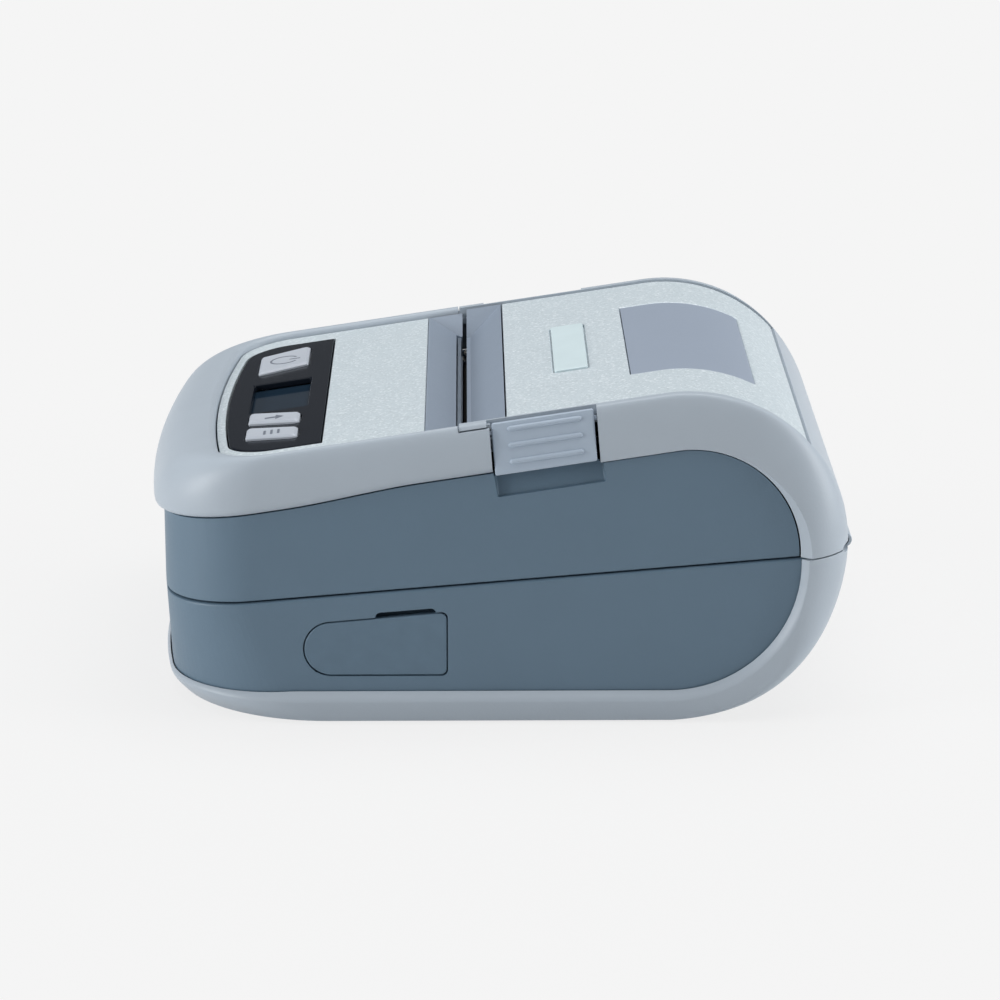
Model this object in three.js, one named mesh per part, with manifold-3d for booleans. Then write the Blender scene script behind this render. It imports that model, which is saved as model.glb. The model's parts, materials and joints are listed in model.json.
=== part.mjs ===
// Portable receipt printer for 80 mm paper, in millimetres.
// X runs from the display end to the rear, Y across the paper, Z up. The origin is the middle of the
// footprint.
import * as THREE from "three";
import { mergeVertices } from "three/addons/utils/BufferGeometryUtils.js";
import Module from "manifold-3d";

const wasm = await Module();
wasm.setup();

const degree = Math.PI / 180;
const quarter = Math.PI / 2;

// Driving dimensions of the whole printer
const length = 140;
const rollWidth = 80;
const sideRoom = 13;
const hingeProud = 1;
const standoff = 0.4;
const gap = 0.3;
const wall = 2;
const overrun = 5;
const seamRearHeight = 34.3;
const crownRadius = 32;
const rearCorner = 10;
const deckTilt = 8.64 * degree;
const seamTilt = 4.75 * degree;

const width = rollWidth + 2 * sideRoom;
const halfWidth = width / 2;
const front = -length / 2;
const rear = length / 2 - hingeProud;
const crownX = rear - crownRadius;
const tangentX = crownX - crownRadius * Math.sin(deckTilt);
const footRadius = seamRearHeight - standoff;
const footX = rear - footRadius;
const far = length;

// Number of straight steps that stand for a round
const steps = { corner: 6, bow: 4, arc: 9, pin: 12, roller: 28, dome: 5, side: 4, band: 14, round: 3 };

// Heights of the seam between the halves and of the sloping deck
function seamHeight(x) {
  return seamRearHeight - (rear - x) * Math.tan(seamTilt);
}

function deckHeight(x) {
  return seamRearHeight + crownRadius / Math.cos(deckTilt) + (x - crownX) * Math.tan(deckTilt);
}

// The light band of the front cover: its drop below the deck grows a little towards the front
const band = {
  rearDrop: 9.9, frontExtra: 1.2, bendStart: -15, bendLength: 27, lip: 1.6, undercut: 1, end: -2.6,
};

function bandHeight(x) {
  const share = THREE.MathUtils.smoothstep(band.bendStart - x, 0, band.bendLength);
  return deckHeight(x) - band.rearDrop - band.frontExtra * share;
}

// Plan outlines: inset from the side, setback from the front, corner radius and large radius of the
// bowed front
const outlineSizes = {
  bumper: { inset: 0, setback: 1.6, corner: 27, bow: 200 },
  bumperFoot: { inset: 1, setback: 4.5, corner: 33, bow: 200 },
  lowerFoot: { inset: 2, setback: 2.7, corner: 26, bow: 200 },
  lowerSeam: { inset: 2, setback: 2, corner: 18, bow: 300 },
  upper: { inset: 2.4, setback: 2, corner: 18, bow: 300 },
  cover: { inset: 1.4, setback: 0, corner: 21, bow: 300 },
  crest: { inset: 3.8, setback: 10.6, corner: 13.2, bow: 300 },
  groove: { inset: 5, setback: 11.8, corner: 12, bow: 300 },
  bezel: { inset: 11.2, setback: 14.2, corner: 9, bow: 300 },
};

const plan = Object.fromEntries(Object.entries(outlineSizes).map(([name, { inset, setback, corner, bow }]) => (
  [name, { half: halfWidth - inset, front: front + setback, corner, bow }]
)));

// Conversion between display geometry and exact solids
function toSolid(geometry) {
  const bare = geometry.clone();
  for (const name of Object.keys(bare.attributes)) {
    if (name !== "position") bare.deleteAttribute(name);
  }
  const merged = mergeVertices(bare);
  const vertProperties = new Float32Array(merged.attributes.position.array);
  const triVerts = new Uint32Array(merged.index.array);
  return new wasm.Manifold(new wasm.Mesh({ numProp: 3, vertProperties, triVerts }));
}

function toGeometry(solid) {
  const mesh = solid.getMesh();
  const geometry = new THREE.BufferGeometry();
  geometry.setAttribute("position", new THREE.BufferAttribute(new Float32Array(mesh.vertProperties), 3));
  geometry.setIndex(new THREE.BufferAttribute(new Uint32Array(mesh.triVerts), 1));
  const flat = geometry.toNonIndexed();
  flat.computeVertexNormals();
  return flat;
}

function join(first, ...others) {
  return others.reduce((whole, part) => whole.add(part), first);
}

function cut(first, ...others) {
  return others.reduce((whole, part) => whole.subtract(part), first);
}

function common(first, ...others) {
  return others.reduce((whole, part) => whole.intersect(part), first);
}

function mirrored(solid) {
  return solid.mirror([0, 1, 0]);
}

function bothSides(solid) {
  return solid.add(mirrored(solid));
}

// Basic forms
function boxGeometry(x0, x1, y0, y1, z0, z1) {
  const block = new THREE.BoxGeometry(x1 - x0, y1 - y0, z1 - z0);
  return block.translate((x0 + x1) / 2, (y0 + y1) / 2, (z0 + z1) / 2);
}

function box(...limits) {
  return toSolid(boxGeometry(...limits));
}

function extrusion(points, depth) {
  return new THREE.ExtrudeGeometry(new THREE.Shape(points), { depth, bevelEnabled: false, steps: 1 });
}

// A side view outline, as X and Z points, carried across from y0 to y1
function across(points, y0, y1) {
  return toSolid(extrusion(points, y1 - y0).rotateX(quarter).translate(0, y1, 0));
}

// A plan outline, as X and Y points, carried up from z0 to z1
function uprightGeometry(points, z0, z1) {
  return extrusion(points, z1 - z0).translate(0, 0, z0);
}

function upright(points, z0, z1) {
  return toSolid(uprightGeometry(points, z0, z1));
}

function rodAcross(x, z, radius, y0, y1, sides = steps.pin) {
  const rod = new THREE.CylinderGeometry(radius, radius, y1 - y0, sides);
  return toSolid(rod.translate(x, (y0 + y1) / 2, z));
}

function rodUp(x, y, radius, z0, z1, sides = steps.pin) {
  const rod = new THREE.CylinderGeometry(radius, radius, z1 - z0, sides).rotateX(quarter);
  return toSolid(rod.translate(x, y, (z0 + z1) / 2));
}

function arcPoints(x, y, radius, from, to, count) {
  const points = [];
  for (let i = 0; i <= count; i += 1) {
    const angle = from + ((to - from) * i) / count;
    points.push(new THREE.Vector2(x + radius * Math.cos(angle), y + radius * Math.sin(angle)));
  }
  return points;
}

function polygon(...pairs) {
  return pairs.map(([x, y]) => new THREE.Vector2(x, y));
}

// Plan outline with a bowed front, round front corners and, where a rear radius is given, round rear
// corners
function planOutline(shape, rearEnd, inset = 0, rearRadius = 0) {
  const half = shape.half - inset;
  const tip = shape.front + inset;
  const corner = shape.corner - inset;
  const bow = shape.bow - inset;
  const cornerY = half - corner;
  const bowX = tip + bow;
  const cornerX = bowX - Math.sqrt((bow - corner) ** 2 - cornerY ** 2);
  const lean = Math.atan2(cornerY, bowX - cornerX);
  const rearRound = rearRadius > 0
    ? arcPoints(rearEnd - rearRadius, half - rearRadius, rearRadius, 0, quarter, steps.corner)
    : polygon([rearEnd, half]);
  const frontRound = arcPoints(cornerX, cornerY, corner, quarter, Math.PI - lean, steps.corner);
  const bowed = arcPoints(bowX, 0, bow, Math.PI - lean, Math.PI, steps.bow).slice(1);
  const side = [...rearRound, ...frontRound, ...bowed];
  const other = side.slice(0, -1).reverse().map((point) => new THREE.Vector2(point.x, -point.y));
  return [...side, ...other];
}

function atHeight(outline, height) {
  return outline.map((point) => new THREE.Vector3(point.x, point.y, height));
}

function atSide(outline, y) {
  return outline.map((point) => new THREE.Vector3(point.x, y, point.y));
}

// A closed solid through rings of points, each ring with as many points as the next
function loft(rings) {
  const count = rings[0].length;
  const points = rings.flat();
  const corners = [];
  for (let k = 0; k + 1 < rings.length; k += 1) {
    for (let i = 0; i < count; i += 1) {
      const next = (i + 1) % count;
      const low = k * count;
      const high = low + count;
      corners.push(low + i, low + next, high + next, low + i, high + next, high + i);
    }
  }
  const last = (rings.length - 1) * count;
  const firstCap = capTriangles(rings[0]);
  const lastCap = capTriangles(rings[rings.length - 1]);
  firstCap.forEach(([a, b, c]) => corners.push(a, c, b));
  lastCap.forEach(([a, b, c]) => corners.push(last + a, last + b, last + c));
  let volume = 0;
  for (let i = 0; i < corners.length; i += 3) {
    const [a, b, c] = corners.slice(i, i + 3).map((corner) => points[corner]);
    volume += a.dot(b.clone().cross(c));
  }
  const geometry = new THREE.BufferGeometry().setFromPoints(points);
  geometry.setIndex(volume > 0 ? corners : corners.reverse());
  return toSolid(geometry);
}

function capTriangles(ring) {
  const centre = ring[0];
  const normal = new THREE.Vector3();
  ring.forEach((point, i) => {
    const next = ring[(i + 1) % ring.length];
    normal.add(point.clone().sub(centre).cross(next.clone().sub(centre)));
  });
  const turn = new THREE.Quaternion().setFromUnitVectors(normal.normalize(), new THREE.Vector3(0, 0, 1));
  const flat = ring.map((point) => {
    const turned = point.clone().applyQuaternion(turn);
    return new THREE.Vector2(turned.x, turned.y);
  });
  return THREE.ShapeUtils.triangulateShape(flat, []);
}

// The deck frame: s along the slope, y across, n out of the deck
const deckFrame = new THREE.Matrix4().makeRotationY(-deckTilt).setPosition(0, 0, deckHeight(0));

function alongDeck(x) {
  return x / Math.cos(deckTilt);
}

function onDeck(geometry) {
  return toSolid(geometry.applyMatrix4(deckFrame));
}

function deckBox(...limits) {
  return onDeck(boxGeometry(...limits));
}

function deckPlate(points, n0, n1) {
  return onDeck(uprightGeometry(points, n0, n1));
}

function deckLoft(rings) {
  return loft(rings.map((ring) => ring.map((point) => point.clone().applyMatrix4(deckFrame))));
}

// The crown profile: the deck line and the rear round, at a depth below the outer skin
function crownProfile(depth, start, endAngle) {
  const first = new THREE.Vector2(start, deckHeight(start) - depth / Math.cos(deckTilt));
  const round = arcPoints(
    crownX, seamRearHeight, crownRadius - depth, quarter + deckTilt, endAngle, steps.arc,
  );
  return [first, ...round];
}

function crownStrip(topDepth, lowDepth, start, endAngle, half) {
  const underside = crownProfile(lowDepth, start, endAngle).reverse();
  return across([...crownProfile(topDepth, start, endAngle), ...underside], -half, half);
}

// Everything above or below the seam plane
function aboveSeam() {
  const lift = gap / 2;
  const low = [[-far, seamHeight(-far) + lift], [far, seamHeight(far) + lift]];
  return across(polygon(...low, [far, far], [-far, far]), -width, width);
}

function belowSeam() {
  const drop = gap / 2;
  const high = [[far, seamHeight(far) - drop], [-far, seamHeight(-far) - drop]];
  return across(polygon([-far, -far], [far, -far], ...high), -width, width);
}

// The side views of the slate panels: rear rounds above and below the seam, and the top of the bumper
const lidEdging = { depth: 10.7, shiftX: 0.8, shiftZ: 0.1 };
const bumperEdging = { depth: 8.4, shiftX: 1.5, shiftZ: 2.3 };
const panelUpper = {
  x: crownX + lidEdging.shiftX, z: seamRearHeight - lidEdging.shiftZ, radius: crownRadius - lidEdging.depth,
};
const panelLower = {
  x: footX - bumperEdging.shiftX, z: seamRearHeight - bumperEdging.shiftZ,
  radius: footRadius - bumperEdging.depth,
};
const bumperTop = panelLower.z - panelLower.radius;
const chamfer = 2;

// Materials
function material(color, roughness, metalness) {
  return new THREE.MeshStandardMaterial({ color, roughness, metalness });
}

const slate = material("#59677a", 0.55, 0);
const lightGrey = material("#a9b3bb", 0.5, 0);
const silver = material("#c9d3dc", 0.35, 0.4);
const troughGrey = material("#8d96a6", 0.6, 0);
const gloss = material("#23272d", 0.2, 0);
const displayGlass = material("#22313f", 0.08, 0);
const keyGrey = material("#c9ccd4", 0.4, 0);
const windowTint = material("#a4b2c4", 0.3, 0);
const blankPlate = material("#eef1f3", 0.35, 0);
const blackPlastic = material("#2b2d30", 0.6, 0);
const whitePlastic = material("#dcdcd6", 0.5, 0);
const boardGreen = material("#1f5a3c", 0.5, 0);
const steel = material("#b6babd", 0.3, 1);
const aluminium = material("#c5c8cb", 0.4, 1);
const rubber = material("#2c2f33", 0.85, 0);
const slateRubber = material("#59677a", 0.75, 0);
const ceramic = material("#e6e2d8", 0.3, 0);

const printer = new THREE.Group();
const base = new THREE.Group();
const lid = new THREE.Group();
printer.add(base, lid);

function place(group, name, solid, finish, position = new THREE.Vector3()) {
  const mesh = new THREE.Mesh(toGeometry(solid), finish);
  mesh.name = name;
  mesh.position.copy(position);
  group.add(mesh);
}

// Lower case: a slate tub whose rear lies inside the bumper
const bumperWall = 2;
const bumperBulge = 4;
const jacketWall = 1;
const floorRecess = 0.5;
const caseBottom = standoff + floorRecess;
const floorTop = caseBottom + wall;
const caseRear = rear - bumperWall - gap;
const caseCorner = rearCorner - bumperWall - gap;
const caseRound = seamRearHeight - caseBottom;

// The room within the tapered foot of the jacket
function footRoom(grow) {
  const inset = jacketWall - grow;
  const taper = loft([
    atHeight(planOutline(plan.bumperFoot, far, inset), standoff),
    atHeight(planOutline(plan.bumper, far, inset), standoff + bumperBulge),
  ]);
  return join(taper, box(-far, far, -width, width, standoff + bumperBulge, far));
}

function lowerCaseForm(grow) {
  const foot = planOutline(plan.lowerFoot, caseRear + grow, -grow, caseCorner + grow);
  const top = planOutline(plan.lowerSeam, caseRear + grow, -grow, caseCorner + grow);
  const heights = [caseBottom - grow, seamHeight(front), seamRearHeight + overrun];
  const body = loft([atHeight(foot, heights[0]), atHeight(top, heights[1]), atHeight(top, heights[2])]);
  const radius = caseRound + grow;
  const side = [
    ...polygon([-far, seamRearHeight - radius]),
    ...arcPoints(caseRear - caseRound, seamRearHeight, radius, -quarter, 0, steps.arc),
    ...polygon([caseRear + grow, far], [-far, far]),
  ];
  return common(body, across(side, -width, width), footRoom(grow));
}

// Rear hinge on the seam: two fixed knuckles and one knuckle of the lid on each side
const hinge = { knuckleRadius: 1.5, pinRadius: 0.6, inset: 28, fixedSpan: 4, lidSpan: 8, relief: 0.9 };
const hingeX = rear + hingeProud - hinge.knuckleRadius;
const hingeZ = seamRearHeight;
const hingeBore = hinge.pinRadius + gap;
const hingeInner = halfWidth - hinge.inset;
const innerKnuckle = [hingeInner, hingeInner + hinge.fixedSpan];
const lidKnuckle = [innerKnuckle[1] + gap, innerKnuckle[1] + gap + hinge.lidSpan];
const outerKnuckle = [lidKnuckle[1] + gap, lidKnuckle[1] + gap + hinge.fixedSpan];

function knuckle([y0, y1]) {
  return rodAcross(hingeX, hingeZ, hinge.knuckleRadius, y0, y1);
}

function hingeHole() {
  return rodAcross(hingeX, hingeZ, hingeBore, -width, width);
}

// Steel side plates of the print mechanism
const sidePlate = {
  inset: 2.6, thickness: 1.2, x0: -14, x1: 12, rise: 2, lugTop: -7, lugBottom: -8.8, beam: 1.2,
  beamDrop: 23,
  slotLead: 0.6,
};
const sidePlateInner = rollWidth / 2 + sidePlate.inset;
const sidePlateOuter = sidePlateInner + sidePlate.thickness;

// Port cover: a rubber flap let into the near wall, round at its front end
const flapSize = {
  overlap: 3.9, length: 28, drop: 15.8, height: 10.8, endRadius: 5.4, thickness: 1.6, hingeInset: 0.4,
  plugLength: 2.2, plugMargin: 0.4, notchInset: 2.1, notchLength: 11.9, notchHeight: 1.8, cornerRadius: 1.2,
};
const flapRear = sidePlate.x0 + flapSize.overlap;
const flapFront = flapRear - flapSize.length;
const flap = {
  ...flapSize, front: flapFront, rear: flapRear, bottom: seamHeight(flapFront) - flapSize.drop,
  notchRear: flapRear - flapSize.notchInset,
  notchFront: flapRear - flapSize.notchInset - flapSize.notchLength,
};

// Side sockets under the port cover
const socketSize = {
  jackInset: 9.4, jackRise: 5.9, jackWidth: 9, jackHeight: 10, jackDepth: 8.2, jackBore: 3.2, jackPin: 0.8,
  pinInset: 1.5, usbInset: 7.1, usbWidth: 8, usbHeight: 4, usbShell: 0.5, usbTongue: 1.2, usbDepth: 7,
  boardInset: 1.1, boardRearInset: 4.5, boardThick: 1.6, boardDepth: 8.5, padWall: 2, holeMargin: 1,
};
const ports = {
  ...socketSize, jackX: flap.rear - socketSize.jackInset, jackZ: flap.bottom + socketSize.jackRise,
  usbX: flap.front + socketSize.usbInset, boardFront: flap.front + socketSize.boardInset,
  boardRear: flap.rear - socketSize.boardRearInset,
};
const portFace = -(plan.lowerSeam.half - wall - ports.padWall - gap);
const portBoardTop = ports.jackZ - ports.jackHeight / 2 - gap;
const usbZ = portBoardTop + gap + ports.usbHeight / 2;

function flapTop(x) {
  return flap.bottom + flap.height + (x - flap.front - flap.endRadius) * Math.tan(seamTilt);
}

function flapOutline(grow) {
  const endX = flap.front + flap.endRadius;
  const endZ = flap.bottom + flap.endRadius;
  const round = arcPoints(endX, endZ, flap.endRadius + grow, quarter, 3 * quarter, steps.arc);
  const rearEnd = flap.rear + grow;
  const corner = arcPoints(
    rearEnd - flap.cornerRadius, flapTop(rearEnd) + grow - flap.cornerRadius, flap.cornerRadius, 0, quarter,
    steps.round,
  );
  return [...round, ...polygon([rearEnd, flap.bottom - grow]), ...corner];
}

function notchOutline() {
  const rise = flap.notchHeight;
  return polygon(
    [flap.notchFront, flapTop(flap.notchFront) - rise],
    [flap.notchRear, flapTop(flap.notchRear) - rise],
    [flap.notchRear, flapTop(flap.notchRear) + rise / 2],
    [flap.notchRear - rise, flapTop(flap.notchRear) + rise],
    [flap.notchFront + rise, flapTop(flap.notchFront) + rise],
    [flap.notchFront, flapTop(flap.notchFront) + rise / 2],
  );
}

// Battery pack, and the door below it that swings on its rear edge
const batterySize = { setback: 18, room: 3, nearInset: 22, farInset: 18, height: 18 };
const battery = {
  x0: front + batterySize.setback, x1: sidePlate.x0 - batterySize.room,
  y0: batterySize.nearInset - halfWidth, y1: halfWidth - batterySize.farInset, height: batterySize.height,
};
const batteryBottom = floorTop + gap;
const doorSize = { margin: 2, thickness: 1.7, stubRadius: 0.5, stubLength: 1.2, grip: 14 };
const door = {
  ...doorSize, x0: battery.x0 - doorSize.margin, x1: battery.x1 + doorSize.margin,
  y0: battery.y0 - doorSize.margin, y1: battery.y1 + doorSize.margin,
};
const doorZ = caseBottom + door.thickness / 2;
const doorX = door.x1 - door.thickness / 2;

// Feet, case screws and bosses
const foot = { radius: 4, height: 1.5, frontSetback: 40, frontInset: 9, rearSetback: 43, rearInset: 10 };
const footPlaces = [
  [front + foot.frontSetback, halfWidth - foot.frontInset],
  [rear - foot.rearSetback, halfWidth - foot.rearInset],
];
const screw = {
  headRadius: 2.4, headHeight: 1.8, shankRadius: 1.2, bossRadius: 3.6, rise: 7,
  frontSetback: 28.5, rearAhead: 2.9, inset: 7,
};
const screwPlaces = [
  [front + screw.frontSetback, halfWidth - screw.inset], [footX + screw.rearAhead, halfWidth - screw.inset],
];
const screwHeadBottom = caseBottom + gap;
const boardSize = { setback: 12, room: 2, inset: 11, thickness: 1.6, cornerCut: 8, rise: 1.4 };
const mainBoard = {
  ...boardSize, x0: front + boardSize.setback, x1: sidePlate.x0 - boardSize.room,
  half: halfWidth - boardSize.inset,
};
const mainBoardBottom = batteryBottom + battery.height + mainBoard.rise;
const boardPost = {
  radius: 1.8, frontInset: 6, rearInset: 2, farInset: 0.5, nearFrontInset: 5, nearRearInset: 6.4,
};
const boardPosts = [
  [mainBoard.x0 + boardPost.frontInset, boardPost.nearFrontInset - mainBoard.half],
  [mainBoard.x1 - boardPost.rearInset, boardPost.nearRearInset - mainBoard.half],
  [mainBoard.x0 + boardPost.frontInset, mainBoard.half - boardPost.farInset],
  [mainBoard.x1 - boardPost.rearInset, mainBoard.half - boardPost.farInset],
];

function fourPlaces(places) {
  return places.flatMap(([x, y]) => [[x, -y], [x, y]]);
}

function lowerCase() {
  let shell = cut(lowerCaseForm(0), lowerCaseForm(-wall));
  const half = plan.lowerSeam.half;
  const padInner = half - wall - ports.padWall;
  const padTop = seamHeight(flap.front);
  const pad = box(flap.front - wall, flap.rear + wall, -half + gap, -padInner, flap.bottom - wall, padTop);
  const ribs = [ports.boardFront + wall, ports.boardRear - wall].map((x) => box(
    x - wall / 2, x + wall / 2, portFace, portFace + ports.boardDepth, caseBottom + gap,
    portBoardTop - ports.boardThick - gap,
  ));
  const supports = boardPosts.map(([x, y]) => (
    rodUp(x, y, boardPost.radius, caseBottom + gap, mainBoardBottom - gap)
  ));
  const screwPosts = fourPlaces(screwPlaces).map(([x, y]) => (
    rodUp(x, y, screw.bossRadius, caseBottom + gap, seamRearHeight)
  ));
  shell = common(join(shell, pad, ...ribs, ...supports, ...screwPosts), lowerCaseForm(0));
  const web = [innerKnuckle, outerKnuckle].map(([y0, y1]) => join(
    knuckle([y0, y1]),
    box(caseRear - wall / 2, hingeX, y0, y1, hingeZ - hinge.knuckleRadius, seamHeight(caseRear) - gap),
  ));
  const knuckles = bothSides(join(...web));
  shell = join(common(shell, belowSeam()), knuckles);
  const screwHoles = fourPlaces(screwPlaces).map(([x, y]) => join(
    rodUp(x, y, screw.shankRadius + gap, -overrun, seamRearHeight + overrun),
    rodUp(x, y, screw.headRadius + gap, -overrun, screwHeadBottom + screw.headHeight + gap),
  ));
  const footHoles = fourPlaces(footPlaces).map(([x, y]) => (
    rodUp(x, y, foot.radius + gap, -overrun, foot.height + gap)
  ));
  const stubRoom = door.stubLength + gap;
  const doorHole = join(
    box(door.x0 - gap, door.x1 + gap, door.y0 - gap, door.y1 + gap, -overrun, floorTop + gap),
    rodAcross(doorX, doorZ, door.stubRadius + gap, door.y0 - stubRoom, door.y1 + stubRoom),
  );
  const recess = join(
    across(flapOutline(gap), -width, -half + flap.thickness + gap),
    across(notchOutline(), -width, -half + flap.thickness),
  );
  const socketHoles = join(
    rodAcross(ports.jackX, ports.jackZ, ports.jackBore + ports.holeMargin, -half, -padInner + overrun),
    box(
      ports.usbX - ports.usbWidth / 2 - ports.holeMargin,
      ports.usbX + ports.usbWidth / 2 + ports.holeMargin,
      -half, -padInner + gap, usbZ - ports.usbHeight / 2 - gap,
      usbZ + ports.usbHeight / 2 + ports.holeMargin,
    ),
  );
  shell = cut(shell, hingeHole(), ...screwHoles, ...footHoles, doorHole, recess, socketHoles);
  place(base, "lower_case", shell, slate);
}

// Base bumper: a light jacket round the foot that rises up the rear to the seam
function bumper() {
  const footRing = planOutline(plan.bumperFoot, rear, 0, rearCorner);
  const fullRing = planOutline(plan.bumper, rear, 0, rearCorner);
  const body = loft([
    atHeight(footRing, standoff),
    atHeight(fullRing, standoff + bumperBulge),
    atHeight(fullRing, seamRearHeight + overrun),
  ]);
  const side = [
    ...polygon([-far, standoff]),
    ...arcPoints(footX, seamRearHeight, footRadius, -quarter, 0, steps.arc),
    ...polygon([rear, far], [-far, far]),
  ];
  const windowRing = (y, spread) => atSide([
    ...polygon([-far, bumperTop - spread]),
    ...arcPoints(panelLower.x, panelLower.z, panelLower.radius + spread, -quarter, 0, steps.arc),
    ...polygon([panelLower.x + panelLower.radius + spread, far], [-far, far]),
  ], y);
  const panelHalf = halfWidth - chamfer;
  const sideWindows = loft([
    windowRing(-halfWidth - chamfer, 2 * chamfer), windowRing(-panelHalf, 0),
    windowRing(panelHalf, 0), windowRing(halfWidth + chamfer, 2 * chamfer),
  ]);
  const taper = loft([
    atHeight(planOutline(plan.bumper, far), bumperTop - chamfer),
    atHeight(planOutline(plan.bumper, far, chamfer), bumperTop),
  ]);
  const frontChamfer = cut(box(-far, 0, -width, width, bumperTop - chamfer, bumperTop + gap), taper);
  const footOpening = planOutline(plan.bumperFoot, footX + caseCorner, jacketWall - gap);
  const underside = upright(footOpening, -overrun, caseBottom + wall);
  const hingeNotch = bothSides(box(
    caseRear, far, innerKnuckle[0] - gap, outerKnuckle[1] + gap, hingeZ - hinge.knuckleRadius - gap, far,
  ));
  const relief = rodAcross(hingeX, hingeZ, hinge.relief, -width, width);
  const shell = common(body, across(side, -width, width), belowSeam());
  const jacket = cut(shell, lowerCaseForm(gap), sideWindows, frontChamfer, underside, hingeNotch, relief);
  place(base, "base_bumper", jacket, lightGrey);
}

// Side latches: where each plate lies on the deck slope, and the finger recess under it
const latchInset = {
  pivot: 4, outerTop: 3.2, outerLow: 1.2, innerTop: 3.9, innerMid: 4.5, innerLow: 3.3, nib: 6.8, lug: 7.1,
};
const latch = {
  s0: -1.4, s1: 18.6, top: -0.4, bottom: -10.4, lean: 4.1, pivotY: halfWidth - latchInset.pivot,
  pivotN: -2.4,
  stubRadius: 0.5, frontStub: 0.85, rearStub: 2, endRoom: 1.225,
  outerTop: halfWidth - latchInset.outerTop, outerLow: halfWidth - latchInset.outerLow,
  innerTop: halfWidth - latchInset.innerTop, innerMid: halfWidth - latchInset.innerMid,
  innerLow: halfWidth - latchInset.innerLow, shoulder: 1.4,
  ribStart: 2.6, ribEnd: 17.2, ribHeight: 0.35, ribWidth: 0.9, ribs: 3, ribTop: 1.4, ribPitch: 3.15,
  nibStart: 7.6, nibEnd: 11.8, nibY: halfWidth - latchInset.nib, nibHeight: 1.2, swingRoom: 0.6,
};
const latchShift = Math.tan(latch.lean * degree);
const recess = { s0: -1.1, s1: 19, bottom: -14.5, deepInset: 4.7, shallowInset: 3.2, padInset: 5.5 };

// Upper case: the slate walls between the seam and the light band
const lidBandStart = (latch.s1 + latch.endRoom) * Math.cos(deckTilt);

function upperCaseTop() {
  const steady = [];
  for (let i = 0; i <= steps.band; i += 1) {
    const x = front + ((band.bendStart - front) * i) / steps.band;
    steady.push([x, bandHeight(x) - gap]);
  }
  const lineHeight = (x) => deckHeight(x) - (deckHeight(panelUpper.x) - panelUpper.z)
    + (panelUpper.radius - gap) / Math.cos(deckTilt);
  const recessDrop = (-latch.bottom + gap) / Math.cos(deckTilt);
  return [
    ...polygon([-far, bandHeight(front) - gap], ...steady, [band.end, bandHeight(band.end) - gap]),
    ...polygon([band.end, deckHeight(band.end) - recessDrop]),
    ...polygon(
      [lidBandStart, deckHeight(lidBandStart) - recessDrop], [lidBandStart, lineHeight(lidBandStart)],
    ),
    ...arcPoints(panelUpper.x, panelUpper.z, panelUpper.radius - gap, quarter + deckTilt, 0, steps.arc),
    ...polygon([panelUpper.x + panelUpper.radius - gap, 0], [-far, 0]),
  ];
}

function upperCase() {
  const outer = upright(planOutline(plan.upper, far), 0, far);
  const inner = upright(planOutline(plan.upper, 2 * far, wall), -overrun, far);
  const pad = bothSides(deckBox(
    recess.s0 - wall, recess.s1 + wall, halfWidth - recess.padInset, plan.upper.half - gap,
    recess.bottom - wall,
    latch.bottom - gap - latch.swingRoom,
  ));
  const posts = fourPlaces(screwPlaces).map(([x, y]) => (
    rodUp(x, y, screw.bossRadius - gap, seamHeight(x), seamHeight(x) + screw.rise + wall)
  ));
  let shell = join(cut(outer, inner), pad, ...posts);
  const region = across(upperCaseTop(), -width, width);
  shell = common(shell, region, aboveSeam());
  const rim = (n, y) => [
    [recess.s0, y], [recess.s1, y], [recess.s1, halfWidth], [recess.s0, halfWidth],
  ].map(([s, across_y]) => new THREE.Vector3(s, across_y, n));
  const scoop = bothSides(deckLoft([
    rim(recess.bottom, halfWidth - recess.shallowInset),
    rim(latch.bottom + gap, halfWidth - recess.deepInset),
  ]));
  const holes = fourPlaces(screwPlaces).map(([x, y]) => (
    rodUp(x, y, screw.shankRadius + gap, 0, seamHeight(x) + screw.rise + gap)
  ));
  place(base, "upper_case", cut(shell, scoop, ...holes), slate);
}

// Front cover: the light domed end with its side bands
const lipInset = 4.9;
const lip = { depth: 0.9, front: -7.6, edgeY: halfWidth - lipInset };
const troughFront = -14.5;
const deckSink = 1.2;

function domeForm(inset) {
  const rearEnd = halfWidth;
  const crest = planOutline(plan.crest, alongDeck(rearEnd), inset)
    .map((point) => new THREE.Vector3(point.x, point.y, -inset).applyMatrix4(deckFrame));
  const widest = planOutline(plan.cover, rearEnd, inset)
    .map((point) => new THREE.Vector3(point.x, point.y, bandHeight(point.x) + band.lip));
  const rings = [];
  for (let k = 0; k <= steps.dome; k += 1) {
    const angle = (quarter * k) / steps.dome;
    rings.push(crest.map((top, i) => {
      const low = widest[i];
      return new THREE.Vector3(
        THREE.MathUtils.lerp(top.x, low.x, Math.sin(angle)),
        THREE.MathUtils.lerp(top.y, low.y, Math.sin(angle)),
        THREE.MathUtils.lerp(low.z, top.z, Math.cos(angle)),
      );
    }));
  }
  const tucked = planOutline(plan.cover, rearEnd, inset + (inset > 0 ? 0 : band.undercut));
  rings.push(tucked.map((point) => new THREE.Vector3(point.x, point.y, bandHeight(point.x))));
  rings.push(atHeight(tucked, 0));
  return loft(rings);
}

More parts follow.
